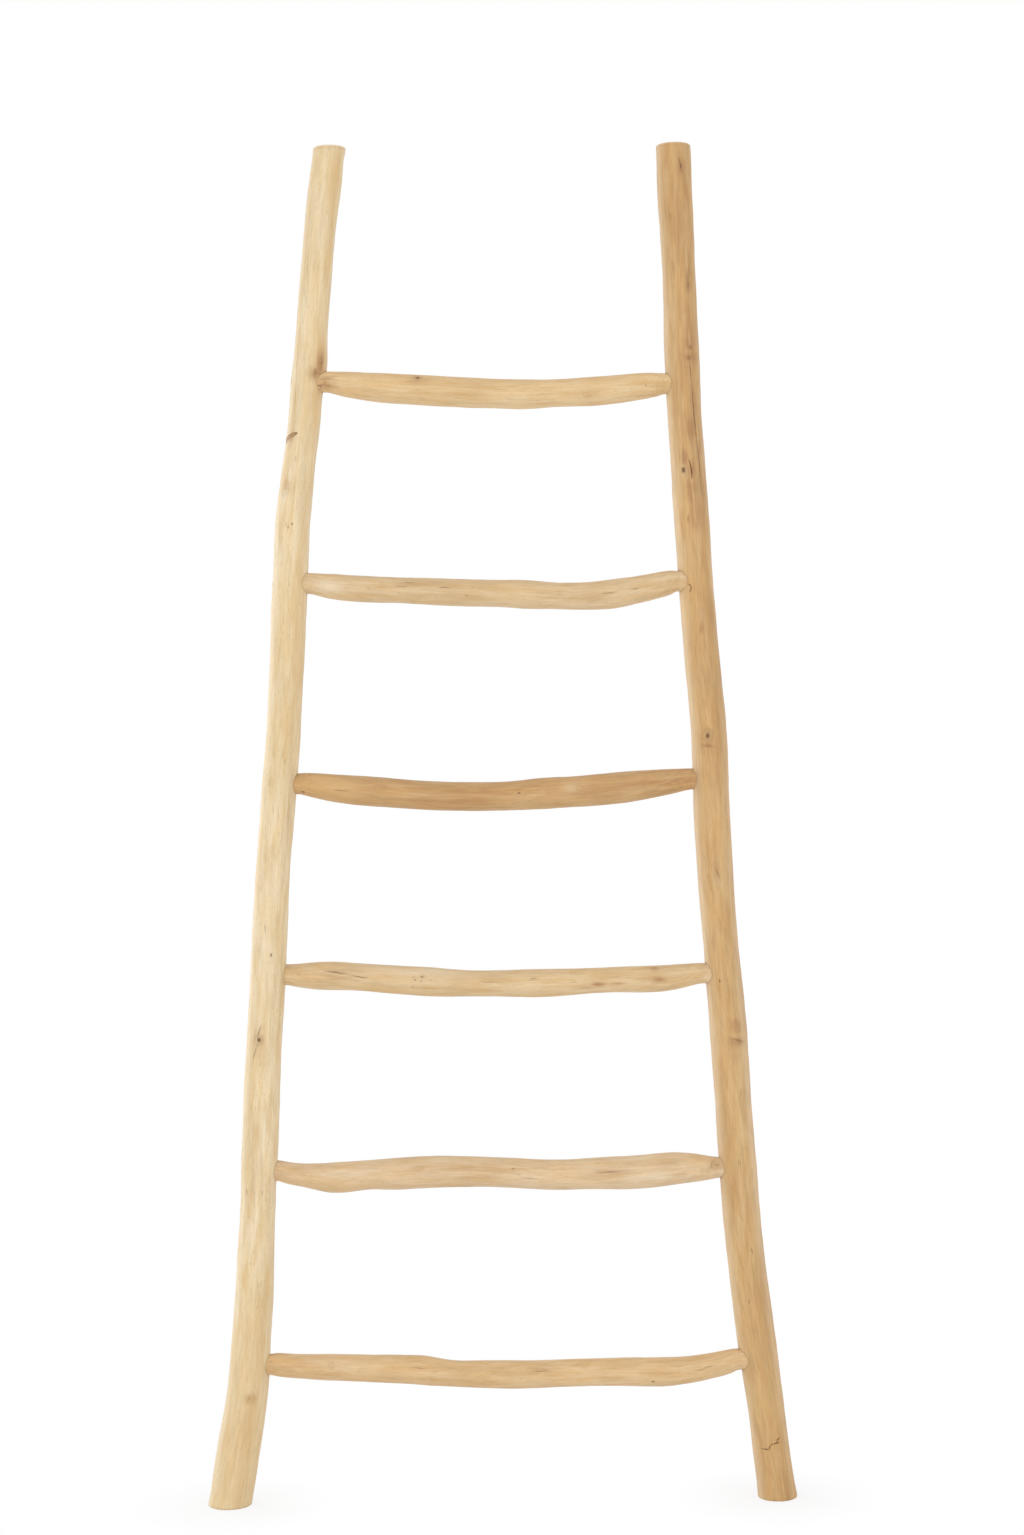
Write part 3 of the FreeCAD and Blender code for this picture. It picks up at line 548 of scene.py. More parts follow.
def turned(name, middle, stations, sides):
    """A solid turned about a line along X: a disc extruded and resized from station to station."""
    (start, radius), rest = stations[0], stations[1:]
    bpy.ops.object.select_all(action="DESELECT")
    bpy.ops.mesh.primitive_circle_add(vertices=sides, radius=radius, fill_type="NGON",
                                      location=(start, *middle), rotation=(0, math.pi / 2, 0))
    piece = newest(name)
    bpy.ops.object.transform_apply(location=True, rotation=True, scale=True)
    open_with(piece, "polygons", [True])
    for place, wide in rest:
        bpy.ops.mesh.extrude_region_move(TRANSFORM_OT_translate={"value": (place - start, 0, 0)})
        growth = wide / radius
        bpy.ops.transform.resize(value=(1, growth, growth), center_override=(place, *middle))
        start, radius = place, wide
    close()
    face_outwards(piece)
    return piece


def join(pieces):
    for piece in pieces:
        piece.select_set(True)
    bpy.context.view_layer.objects.active = pieces[0]
    bpy.ops.object.join()
    return pieces[0]


def cut_away(piece, cutters):
    """Cuts a set of closed cutters out of a piece, and clears them away."""
    only(cutters[0])
    cutter = join(cutters)
    only(piece)
    cut = piece.modifiers.new("joints and cracks", "BOOLEAN")
    cut.operation, cut.solver, cut.object = "DIFFERENCE", "EXACT", cutter
    bpy.ops.object.modifier_apply(modifier=cut.name)
    bpy.data.objects.remove(cutter)


def write_attribute(piece, name, kind, values):
    field = {"FLOAT_VECTOR": "vector", "FLOAT_COLOR": "color", "FLOAT": "value"}[kind]
    attribute = piece.data.attributes.new(name, kind, "POINT")
    attribute.data.foreach_set(field, np.ascontiguousarray(values, np.float32).ravel())


def smooth(share):
    """0 to 1 with a soft start and end."""
    share = np.clip(share, 0, 1)
    return share * share * (3 - 2 * share)


def turn_between(turn, middle):
    """The angle from middle to turn, from minus half a turn to half a turn."""
    return (turn - middle + math.pi) % FULL_TURN - math.pi


# Measuring the frame

def section(points, edges, axis, place):
    """The points where a plane across an axis meets a node's edges."""
    near, far = points[edges[:, 0]], points[edges[:, 1]]
    before, after = near[:, axis] - place, far[:, axis] - place
    met = before * after < 0
    share = (before[met] / (before[met] - after[met]))[:, None]
    return near[met] + share * (far[met] - near[met])


def fit_circle(flat):
    """Middle and radius of the circle through a section, leaving out what lies in drilled holes."""
    kept = flat
    for tolerance in FIT_TOLERANCES:
        system = np.column_stack([2 * kept, np.ones(len(kept))])
        side, depth, rest = np.linalg.lstsq(system, (kept ** 2).sum(axis=1), rcond=None)[0]
        radius = math.sqrt(rest + side ** 2 + depth ** 2)
        short = radius - np.hypot(flat[:, 0] - side, flat[:, 1] - depth)
        kept = flat[short < tolerance]
    return side, depth, radius


class Branch:
    """One stick: the line that its middle follows, its thickness, and the marks on its skin.

    Along is X on a rung and Z on a stile, side is the other of the two, and depth is Y. A turn is
    the angle round the stick: 0 at the front, and growing towards side.
    """

    def __init__(self, node, along):
        self.node, self.along, self.side = node, along, 2 - along
        self.rng = np.random.default_rng(SEED + sum(map(ord, node)))
        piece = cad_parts[node]
        points, edges = points_of(piece), edges_of(piece)
        self.low, self.high = points[:, along].min(), points[:, along].max()
        first, last = self.low + SLICE_MARGIN, self.high - SLICE_MARGIN
        self.places = np.linspace(first, last, int((last - first) / SLICE_STEP))
        self.rows = np.array([fit_circle(section(points, edges, along, place)[:, [self.side, 1]])
                              for place in self.places])
        self.thick = 2 * self.rows[:, 2].mean()
        self.knife = []
        draw = self.rng.uniform
        self.waves = [(waves, FULL_TURN / (length * draw(*SWELLING_STRETCH)), height * MM,
                       draw(0, FULL_TURN)) for waves, length, height in SWELLINGS * SWELLING_SETS]
        self.flat_phase, self.flat_twist = draw(0, FULL_TURN), draw(-FLAT_TWIST, FLAT_TWIST)

    def at(self, along):
        """(side, depth, radius) at places along the branch, on a smooth curve through the slices."""
        count = len(self.places)
        spot = (along - self.places[0]) / (self.places[-1] - self.places[0]) * (count - 1)
        number = np.clip(np.floor(spot), 0, count - 2).astype(int)
        share = (spot - number)[..., None]
        before, near, far, after = (self.rows[np.clip(number + k, 0, count - 1)]
                                    for k in (-1, 0, 1, 2))
        slope = far - before
        bend = 2 * before - 5 * near + 4 * far - after
        twist = 3 * near - 3 * far + after - before
        return near + share / 2 * (slope + share * (bend + share * twist))

    def seen_at(self, along, across):
        """The place along and the turn of the skin that the photograph shows at a place on the front."""
        eye, shown, turn = np.array(CAMERA_PLACE), np.zeros(3), math.asin(np.clip(across, -1, 1))
        side, depth, radius = self.at(np.array([along]))[0]
        shown[self.along], shown[self.side] = along, side + across * radius
        for _ in range(SIGHT_ROUNDS):
            met = eye + (shown - eye) * (1 - (depth - radius * math.cos(turn)) / eye[1])
            side, depth, radius = self.at(met[[self.along]])[0]
            turn = math.asin(np.clip((met[self.side] - side) / radius, -1, 1))
        return met[self.along], turn

    def from_ends(self, along):
        """How far places along the stick are from its nearer end."""
        return np.minimum(along - self.low, self.high - along)

    def offsets(self, along, turn, place, middle):
        """How far the skin's points lie from one place on it: along the stick, and round it."""
        return along - place, turn_between(turn, middle) * self.thick / 2

    def along_stroke(self, along, turn, start, end):
        """The share of the way along a stroke, and the distances beyond its ends and beside it."""
        run, drift = end[0] - start[0], (end[1] - start[1]) * self.thick / 2
        length = math.hypot(run, drift)
        lengthwise, sideways = self.offsets(along, turn, *start)
        way = (lengthwise * run + sideways * drift) / length ** 2
        beside = (sideways * run - lengthwise * drift) / length
        return way, (way - np.clip(way, 0, 1)) * length, beside

    def relief(self, along, turn):
        """Height of the knots, flats, ridges and scars over the round skin."""
        height = np.zeros_like(along)
        for waves, pace, tall, phase in self.waves:
            height += tall * np.cos(waves * turn + pace * along + phase)
        across_flats = FLATS / 2 * (turn + self.flat_twist * along) + self.flat_phase
        strength = 0.5 + 0.5 * np.cos(self.flat_phase + FLAT_FADING * along + 2 * turn)
        height -= FLAT_DEPTH * MM * strength * (np.abs(np.sin(across_flats)) - 0.5)
        for place, middle, half_long, half_wide, rise in self.knots():
            lengthwise, sideways = self.offsets(along, turn, place, middle)
            far = np.hypot(lengthwise / half_long, sideways / half_wide)
            mound, hollow = np.exp(-(far / KNOT_MOUND) ** 2), np.exp(-(far / KNOT_HOLLOW) ** 2)
            height += rise * (mound - KNOT_HOLLOW_DEPTH * hollow)
            height += KNOT_RING_RISE * rise * np.cos(far * KNOT_RING_PACE) * np.exp(-far ** 2)
        for *ends, wide, tall in RIDGES.get(self.node, []):
            start, end = self.seen_at(*ends[:2]), self.seen_at(*ends[2:])
            _, beyond, beside = self.along_stroke(along, turn, start, end)
            far = np.hypot(beside, beyond) / (wide * MM)
            height += tall * MM * np.exp(-far ** RIDGE_SHARPNESS)
        for *ends, wide, deep in SCARS.get(self.node, []):
            height -= deep * MM * self.scar(along, turn, ends, wide)
        return height

    def scar(self, along, turn, ends, wide):
        """1 in the floor of a scar under its crisp upper edge, and 0 outside it."""
        start, end = self.seen_at(*ends[:2]), self.seen_at(*ends[2:])
        way, _, beside = self.along_stroke(along, turn, start, end)
        reach = np.clip(way, 0, 1)
        belly = (4 * reach * (1 - reach)) ** SCAR_BLUNTNESS
        below = (SCAR_BOW * belly - SCAR_BOW) * MM - beside
        edge = smooth(below / SCAR_EDGE + 0.5)
        floor_end = smooth((wide * MM * belly - below) / SCAR_RUNOUT + SCAR_LOW_SHARE)
        return edge * floor_end * (belly > SCAR_TIP)

    def knots(self):
        """(along, turn, half length, half width, rise) of every knot."""
        listed = [(*self.seen_at(along, across), long * MM, wide * MM, rise * MM)
                  for along, across, long, wide, rise in KNOTS.get(self.node, [])]
        return listed + self.back_knots

    def knife_share(self, along, turn):
        """What the knife left of the radius at the whittled ends."""
        left = np.ones_like(along)
        for mouth, inward, middle, reach, deep in self.knife:
            away = (along - mouth) * inward
            fade = np.where(away < 0, smooth(-away / TENON_FADE), smooth(away / reach))
            share = deep + (KNIFE_CLEAR_SHARE - deep) * fade
            beside = np.clip(turn_between(turn, middle), -KNIFE_HALF_TURN, KNIFE_HALF_TURN)
            left = np.minimum(left, share / np.cos(beside))
        return left

    def skin(self, along, turn):
        """Distance of the finished skin from the stick's middle."""
        radius = self.at(along)[..., 2]
        calm = np.ones_like(along)
        for mouth, inward, *_ in self.knife:
            calm = np.minimum(calm, smooth((along - mouth) * inward / CALM_REACH))
        return radius * self.knife_share(along, turn) + self.relief(along, turn) * calm

    def place(self, along, turn, radius):
        """Points at an angle and a distance from the stick's middle, in the frame's own axes."""
        middle = self.at(along)
        points = np.empty((len(along), 3))
        points[:, self.side] = middle[:, 0] + radius * np.sin(turn)
        points[:, 1] = middle[:, 1] - radius * np.cos(turn)
        points[:, self.along] = along
        return points

    def unplace(self, points):
        """(along, side offset, depth offset) of points, from the stick's middle."""
        along = points[:, self.along]
        middle = self.at(along)
        return along, points[:, self.side] - middle[:, 0], points[:, 1] - middle[:, 1]

    def scatter_back_marks(self):
        """Marks where the photograph doesn't show the stick, drawn with its own seed."""
        draw, length = self.rng.uniform, self.high - self.low
        margin = BACK_MARGIN * length
        share = length / STILE_LENGTH

        def spots(count):
            for _ in range(math.ceil(count * share)):
                yield (draw(self.low + margin, self.high - margin), draw(*BACK_TURNS) * FULL_TURN)

        count, long, wide, rise = BACK_KNOTS
        self.back_knots = [(along, turn, draw(*long) * MM, draw(*wide) * MM, draw(*rise) * MM)
                           for along, turn in spots(count)]
        count, long, drift = BACK_LINES
        self.back_lines = [(along, turn, along + draw(*long) * MM, turn + draw(*drift))
                           for along, turn in spots(count)]
        count, long, wide, strength = BACK_STAINS
        self.back_stains = [(along, turn, draw(*long) * MM, draw(*wide) * MM, draw(*strength))
                            for along, turn in spots(count)]

    def plan_knife_cuts(self, mouths):
        """Where each knife cut of a rung's two ends lies."""
        draw = self.rng.uniform
        for mouth, inward in mouths:
            count = self.rng.integers(*KNIFE_CUTS)
            for number in range(count):
                middle = FULL_TURN * (number + draw(-KNIFE_STRAY, KNIFE_STRAY)) / count
                self.knife.append((mouth, inward, middle, draw(*KNIFE_REACH),
                                   draw(*KNIFE_DEPTH_SHARES)))


# Building the branches

def shape_branch(branch, sides, cuts):
    """The branch's own mesh, before anything is cut out of it."""
    piece = branch_tube(f"{branch.node}_wood", sides, cuts)
    points = points_of(piece)
    share, turn = np.hypot(points[:, 0], points[:, 1]), np.arctan2(points[:, 0], -points[:, 1])
    outward = np.where(points[:, 2] > 0, 1, -1)
    rounding = np.clip((1 - share) / RIM_SHARE, 0, 1) * math.pi / 2
    length = branch.high - branch.low - 2 * END_ROUND
    straight = branch.low + END_ROUND + (points[:, 2] + 0.5) * length
    along = straight + outward * END_ROUND * np.sin(rounding)
    radius = branch.skin(straight, turn) - END_ROUND * (1 - np.cos(rounding))
    flat = share < 1 - RIM_SHARE
    radius = np.where(flat, radius * share / (1 - RIM_SHARE), radius)
    move_points(piece, branch.place(along, turn, radius))
    face_outwards(piece)
    return piece


def crack_blade(branch, path, wide, deep):
    """A thin four-sided blade that runs along a crack and comes to a point at both ends."""
    bpy.ops.object.select_all(action="DESELECT")
    bpy.ops.mesh.primitive_cylinder_add(vertices=4, radius=1, depth=1)
    blade = newest("crack_blade")
    cut_into_rings(blade, CRACK_CUTS)
    points = points_of(blade)
    way = points[:, 2] + 0.5
    spots = np.array([branch.seen_at(*spot) for spot in path])
    along_fit, turn_fit = (np.polyfit(np.linspace(0, 1, len(path)), row, len(path) - 1)
                           for row in spots.T)
    along, turn = np.polyval(along_fit, way), np.polyval(turn_fit, way)
    run = np.polyval(np.polyder(along_fit), way)
    drift = np.polyval(np.polyder(turn_fit), way) * branch.thick / 2
    open_share = np.clip(np.sin(math.pi * way), CRACK_TIP, 1) ** CRACK_BLUNTNESS
    rough = min(1, abs(path[-1][0] - path[0][0]) / ROUGH_CRACK_LENGTH)
    shiver = rough * MM * sum(tall * np.sin(along * pace + wide * shift)
                              for tall, pace, shift in CRACK_SHIVERS)
    steady, uneven, pace = CRACK_WIDTH_WAVE
    half_width = wide / 2 * MM * open_share * (steady + uneven * rough * np.sin(along * pace))
    beside = points[:, 0] * half_width / np.hypot(run, drift)
    along, turn = along - beside * drift, turn + (beside * run + shiver) * 2 / branch.thick
    outer = np.where(points[:, 1] < -0.5, MM, 0)
    inner = np.where(points[:, 1] > 0.5, deep * MM * open_share, 0)
    move_points(blade, branch.place(along, turn, branch.skin(along, turn) + outer - inner))
    face_outwards(blade)
    return blade


def blades(branch):
    return [crack_blade(branch, *crack) for crack in CRACKS.get(branch.node, [])]


def stain_and_painted_light_share(branch, along, turn, table, back=()):
    """How strongly a set of soft stains, or of painted highlight and shade bands, covers the skin."""
    cover = np.zeros_like(along)
    marks = [(*branch.seen_at(place, across), long * MM, wide * MM, strength)
             for place, across, long, wide, strength in table.get(branch.node, [])]
    for place, middle, long, wide, strength in marks + list(back):
        lengthwise, sideways = branch.offsets(along, turn, place, middle)
        fading = np.exp(-(lengthwise / long) ** 2 - (sideways / wide) ** 2)
        cover = np.maximum(cover, strength * fading)
    return cover


def grain_flow(branch, along, turn):
    """The turn that the grain follows, which bends round each knot."""
    bent = turn.copy()
    for place, middle, half_long, half_wide, _ in branch.knots():
        lengthwise, sideways = branch.offsets(along, turn, place, middle)
        far = (lengthwise / (FLOW_LONG * half_long)) ** 2 + (sideways / (FLOW_WIDE * half_wide)) ** 2
        bent -= sideways * np.exp(-far) / (FLOW_BEND + far) * FLOW_BEND * 2 / branch.thick
    return bent


def describe_skin(branch, piece, joints=()):
    """Writes what the wood shader reads: places on the stick, the grain's flow, stains with their
    painted highlight and shade, and painted shade where the skin is sunk and round the tenons' mouths.
    """
    points = points_of(piece)
    along, side, depth = branch.unplace(points)
    turn, radius = np.arctan2(side, -depth), np.hypot(side, depth)
    write_attribute(piece, "stick_place", "FLOAT_VECTOR", np.column_stack([side, depth, along]))
    bent = grain_flow(branch, along, turn)
    grain = np.column_stack([radius * np.sin(bent), -radius * np.cos(bent), along])
    write_attribute(piece, "grain_place", "FLOAT_VECTOR", grain)
    back = branch.back_stains
    smudge_and_shade = stain_and_painted_light_share(branch, along, turn, SMUDGES_AND_PAINTED_SHADE, back[::2])
    warm_and_shade = stain_and_painted_light_share(branch, along, turn, WARM_PATCHES_AND_PAINTED_SHADE, back[1::2])
    pale_and_highlight = stain_and_painted_light_share(branch, along, turn, PALE_PATCHES_AND_PAINTED_HIGHLIGHT)
    below_top, over_foot = branch.high - along, along - branch.low
    pale_and_highlight = np.maximum(pale_and_highlight, WORN_RIM * smooth((RIM_WEAR - below_top) / MM))
    rim_line = np.exp(-((below_top - RIM_WEAR - MM) / MM) ** 2)
    smudge_and_shade = np.maximum(smudge_and_shade, SMUDGED_RIM * rim_line)
    smudge_and_shade = np.maximum(smudge_and_shade, SOILED_FOOT * smooth((SOIL_REACH - over_foot) / SOIL_REACH))
    cut = smooth((1 - branch.knife_share(along, turn)) / FRESH_CUT_SHARE)
    write_attribute(piece, "stains_and_painted_light", "FLOAT_COLOR", np.column_stack([smudge_and_shade, warm_and_shade, pale_and_highlight, cut]))
    # Painted shade down in cracks and holes: darker where the skin is sunk below its finished height
    sunk = smooth((branch.skin(along, turn) - radius - SUNK_SHADE_FROM) / SUNK_SHADE_FADE)
    painted_shade = sunk * (branch.from_ends(along) > END_ROUND + MM)
    # Painted shade round each tenon's mouth, on the stile's side that faces the rung
    for joint in joints:
        across = np.hypot(joint.height - points[:, 2], joint.depth - points[:, 1])
        near = smooth((joint.radius + MOUTH_SHADE_REACH - across) / MOUTH_SHADE_REACH)
        painted_shade = np.maximum(painted_shade, MOUTH_SHADE * near * (side * joint.out < 0))
    write_attribute(piece, "painted_shade", "FLOAT", painted_shade)


def shade(piece, materials):
    """Smooths a piece's round faces and gives it its materials."""
    only(piece)
    bpy.ops.object.shade_smooth_by_angle(angle=SMOOTH_ANGLE)
    for material in materials:
        piece.data.materials.append(material)


def paint_sawn_ends(branch, piece):
    """Gives the faces across both ends the piece's second material."""
    sawn = [abs(face.normal[branch.along]) > SAWN_FACING and
            branch.from_ends(face.center[branch.along]) < MM for face in piece.data.polygons]
    piece.data.polygons.foreach_set("material_index", np.array(sawn, np.int32))


def finish_branch(branch, piece, materials, joints=()):
    describe_skin(branch, piece, joints)
    shade(piece, materials)
    if len(materials) > 1:
        paint_sawn_ends(branch, piece)
    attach(piece, "root")
    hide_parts(branch.node)


class Joint:
    """One tenon joint: its axis, the tenon in it, the screw and the plug, all from the frame."""

    def __init__(self, side, step, rung):
        self.side, self.step, self.out = side, step, OUTWARD[side]
        screw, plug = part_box(f"screw_{side}_{step}"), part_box(f"plug_{side}_{step}")
        outer, inner = (1, 0) if self.out > 0 else (0, 1)
        self.depth, self.height = (screw[0][1] + screw[1][1]) / 2, (screw[0][2] + screw[1][2]) / 2
        self.head, self.screw_tip = screw[outer][0], screw[inner][0]
        self.head_radius = (screw[1][2] - screw[0][2]) / 2
        self.plug_floor, self.plug_face = plug[inner][0], plug[outer][0]
        self.plug_radius = (plug[1][2] - plug[0][2]) / 2
        self.tip = rung.high if self.out > 0 else rung.low
        self.radius = rung.at(np.array([self.tip - self.out * 2 * SLICE_MARGIN]))[0, 2]

    @property
    def middle(self):
        return self.depth, self.height

    def mouth(self, stile):
        """The x where the tenon's axis meets the stile's inner side."""
        side, depth, radius = stile.at(np.array([self.height]))[0]
        return side - self.out * math.sqrt(radius ** 2 - (self.depth - depth) ** 2)

    def drill(self, stile):
        """The cutter for the mortise, the screw hole, the head's seat and the plug's bore."""
        out, bottom = self.out, self.tip + self.out * TENON_END_GAP
        head = self.head - out * HEAD_RIM
        bore = self.radius + OPEN_MOUTHS.get((self.side, self.step), MORTISE_GAP)
        stations = [
            (self.mouth(stile) - out * OVERRUN, bore),
            (bottom, bore),
            (bottom, SCREW_HOLE_RADIUS),
            (head - out * HEAD_CONE, SCREW_HOLE_RADIUS),
            (head, self.head_radius + HEAD_GAP),
            (self.plug_floor, self.head_radius + HEAD_GAP),
            (self.plug_floor, self.plug_radius + PLUG_GAP),
            (self.plug_face + out * OVERRUN, self.plug_radius + PLUG_GAP),
        ]
        return turned("drill", self.middle, stations, STILE_SIDES)

    def pilot(self):
        """The cutter for the screw's pilot hole in the tenon."""
        stations = [(self.screw_tip - self.out * PILOT_OVERDRILL, PILOT_RADIUS),
                    (self.tip + self.out * OVERRUN, PILOT_RADIUS)]
        return turned("pilot", self.middle, stations, PILOT_SIDES)


def skin_x(stile, joint, depth, height):
    """The x of the stile's outer skin at places beside a joint."""
    side, middle, radius = stile.at(height).T
    x = side + joint.out * radius
    for _ in range(SKIN_ROUNDS):
        turn = np.arctan2(x - side, middle - depth)
        reach = stile.skin(height, turn)
        x = side + joint.out * np.sqrt(np.maximum(reach ** 2 - (depth - middle) ** 2, 0))
    return x


def make_plug(stile, joint, material):
    """The plug over a screw head: a short rod whose face follows the stile's skin, a hair proud."""
    name = f"plug_{joint.side}_{joint.step}"
    radius = joint.plug_radius
    stations = [(joint.plug_floor + joint.out * HEAD_GAP, radius), (joint.plug_face, radius)]
    piece = turned(f"{name}_wood", joint.middle, stations, PLUG_SIDES)
    outer = [face.normal[0] * joint.out > PLUG_FACING for face in piece.data.polygons]
    open_with(piece, "polygons", outer)
    for share in PLUG_INSETS:
        bpy.ops.mesh.inset(thickness=share * radius)
    bpy.ops.mesh.poke()
    close()
    points = points_of(piece)
    across, up = points[:, 1] - joint.depth, points[:, 2] - joint.height
    share = np.hypot(across, up) / radius
    face = (points[:, 0] - joint.plug_face) * joint.out > -NEGLIGIBLE
    rng = np.random.default_rng(SEED + joint.step * 10 + joint.out)
    worn = PLUG_EDGE_DROP * MM * smooth((share - (1 - PLUG_EDGE)) / PLUG_EDGE)
    proud = rng.uniform(*PLUG_PROUD) * MM - worn
    flush = skin_x(stile, joint, points[:, 1], points[:, 2])
    points[:, 0] = np.where(face, flush + joint.out * proud, points[:, 0])
    move_points(piece, points)
    lean = rng.uniform(-PLUG_LEAN, PLUG_LEAN)
    turned_across = across * math.cos(lean) - up * math.sin(lean)
    turned_up = across * math.sin(lean) + up * math.cos(lean)
    grain = np.column_stack([turned_across + joint.step * PLUG_GRAIN_STEP,
                             points[:, 0] - joint.plug_floor, turned_up + joint.height])
    write_attribute(piece, "grain_place", "FLOAT_VECTOR", grain)
    shade(piece, [material])
    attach(piece, "root")
    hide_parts(name)


# Shader building

class Sheet:
    """A node sheet, with short calls for the nodes that the finishes are made of."""

    def __init__(self, owner):
        """Starts the empty sheet of a material or of the world."""
        owner.use_nodes = True
        self.owner, self.tree = owner, owner.node_tree
        self.tree.nodes.clear()

    def node(self, kind, *inputs, **settings):
        """A node whose first sockets take these links or values."""
        made = self.tree.nodes.new(f"ShaderNode{kind}")
        for name, value in settings.items():
            setattr(made, name, value)
        for socket, value in zip(made.inputs, inputs):
            self.feed(socket, value)
        return made

    def feed(self, socket, value):
        if isinstance(value, bpy.types.NodeSocket):
            self.tree.links.new(value, socket)
        elif value is not None:
            socket.default_value = value

    def attribute(self, name, output="Vector"):
        return self.node("Attribute", attribute_name=name).outputs[output]

    def maths(self, operation, first, second=None, third=None, clamp=False):
        return self.node("Math", first, second, third, operation=operation, use_clamp=clamp).outputs[0]

    def times(self, first, second, clamp=False):
        return self.maths("MULTIPLY", first, second, clamp=clamp)

    def vector(self, operation, *inputs):
        return self.node("VectorMath", *inputs, operation=operation).outputs[0]

    def length(self, vector):
        return self.node("VectorMath", vector, operation="LENGTH").outputs["Value"]

    def between(self, value, low, high, to_low=0.0, to_high=1.0):
        """Maps a value from low..high onto to_low..to_high, and stops at both ends."""
        return self.node("MapRange", value, low, high, to_low, to_high).outputs[0]

    def mix(self, share, first, second, how="MIX"):
        """A mix of two colours, whose sockets come after the node's own for numbers and vectors."""
        made = self.node("Mix", share, data_type="RGBA", blend_type=how)
        for socket, colour in zip(made.inputs[6:8], (first, second)):
            self.feed(socket, colour)
        return made.outputs[2]

    def even_noise(self, place, scale, detail=2.0, output=0):
        """Noise that is the same in all directions: output 0 is a level, and 1 a colour."""
        return self.node("TexNoise", place, None, scale, detail).outputs[output]

    def noise(self, place, wide, long, detail=2.0, shift=0.0):
        """Noise drawn out along the grain: its features are this wide and this long."""
        drawn_out = (1 / wide, 1 / wide, 1 / long)
        stretched = self.node("Mapping", place, (shift, shift, shift), None, drawn_out).outputs[0]
        return self.even_noise(stretched, 1.0, detail)

    def wavering(self, flat, place, scale, reach):
        """Flat places, each moved to and fro by noise."""
        colour = self.even_noise(place, scale, output=1)
        swing = self.vector("SUBTRACT", colour, (0.5, 0.5, 0.5))  # to and fro from its middle
        return self.vector("MULTIPLY_ADD", swing, (reach, reach, 0), flat)

    def rings(self, reach, waver, spacing):
        """Growth rings, as a wave from -1 to 1 over a distance that wavers."""
        uneven = self.maths("MULTIPLY_ADD", waver, RING_WAVER, reach)
        return self.maths("SINE", self.times(uneven, FULL_TURN / spacing))

    def ramp(self, share, stops):
        """A colour or grey level for a share, from (share, colour) stops."""
        made = self.node("ValToRGB", share)
        band = made.color_ramp.elements
        while len(band) < len(stops):
            band.new(0.5)
        for stop, (place, colour) in zip(band, stops):
            stop.position, stop.color = place, colour
        return made.outputs[0]

    def finish(self, colour, roughness, height, bump_depth):
        """Ends a material's sheet in a satin surface."""
        bump = self.node("Bump", 1.0, bump_depth)
        self.feed(bump.inputs["Height"], height)
        surface = self.node("BsdfPrincipled")
        for name, value in (("Base Color", colour), ("Roughness", roughness),
                            ("Normal", bump.outputs[0]), ("IOR", SURFACE_IOR),
                            ("Sheen Weight", SHEEN), ("Sheen Roughness", SHEEN_ROUGHNESS)):
            self.feed(surface.inputs[name], value)
        self.tree.links.new(surface.outputs[0], self.node("OutputMaterial").inputs[0])
        return self.owner


def material_sheet(name):
    return Sheet(bpy.data.materials.new(name))


def grey(level):
    return (level, level, level, 1.0)


def mark_mask(sheet, unrolled, marks):
    """The darkest of a set of tapered marks: (round, along, half wide, half long, tilt, strength)."""
    darkest = None
    for beside, along, wide, long, tilt, strength in marks:
        own = sheet.node("Mapping", unrolled, (beside, along, 0), (0, 0, tilt), (wide, long, 1),
                         vector_type="TEXTURE")
        mark = sheet.node("TexGradient", own.outputs[0], gradient_type="SPHERICAL").outputs[1]
        if strength < 1:
            mark = sheet.times(mark, strength)
        darkest = mark if darkest is None else sheet.maths("MAXIMUM", darkest, mark)
    return darkest


def stroke_mark(branch, start, end, half_wide, length_share, strength, lower=0):
    """A mark for the shader from one (along, turn) place on the skin to another."""
    radius = branch.thick / 2
    run, drift = end[0] - start[0], (end[1] - start[1]) * radius
    middle = turn_between((start[1] + end[1]) / 2, 0) * radius
    return (middle, (start[0] + end[0]) / 2 - lower, half_wide, math.hypot(run, drift) * length_share,
            -math.atan2(drift, run), strength)


def line_marks(branch):
    """The thin lines and dots of a stick, as marks for the shader."""
    lines = [(branch.seen_at(start, across), branch.seen_at(end, far_across), wide, strength)
             for start, across, end, far_across, wide, strength in LINES.get(branch.node, [])]
    lines += [((start, turn), (end, far_turn), *BACK_LINE_WEIGHT)
              for start, turn, end, far_turn in branch.back_lines]
    marks = [stroke_mark(branch, start, end, LINE_WIDENING * wide * MM, LINE_LENGTH_SHARE, strength)
             for start, end, wide, strength in lines]
    wide_share, long_share = DOT_SHAPE
    for *place, size, strength in DOTS.get(branch.node, []):
        along, turn = branch.seen_at(*place)
        marks.append((turn * branch.thick / 2, along, size * wide_share * MM, size * long_share * MM,
                      0, strength))
    return marks


def scar_marks(branch):
    """The scars of a stick, as one leaf-shaped mark each."""
    return [stroke_mark(branch, branch.seen_at(start, across), branch.seen_at(end, far_across),
                        wide / 2 * MM, SCAR_LENGTH_SHARE, 1, lower=SCAR_BOW * MM)
            for start, across, end, far_across, wide, _ in SCARS.get(branch.node, [])]


def knot_marks(branch, kind):
    """The knots of one kind on a stick, as marks for the shader."""
    special = {number: name for name, table in SPECIAL_KNOTS.items()
               for number in table.get(branch.node, ())}
    return [(turn_between(turn, 0) * branch.thick / 2, along, wide * KNOT_REACH, long * KNOT_REACH, 0, 1)
            for number, (along, turn, long, wide, _) in enumerate(branch.knots())
            if special.get(number, "faint") == kind]


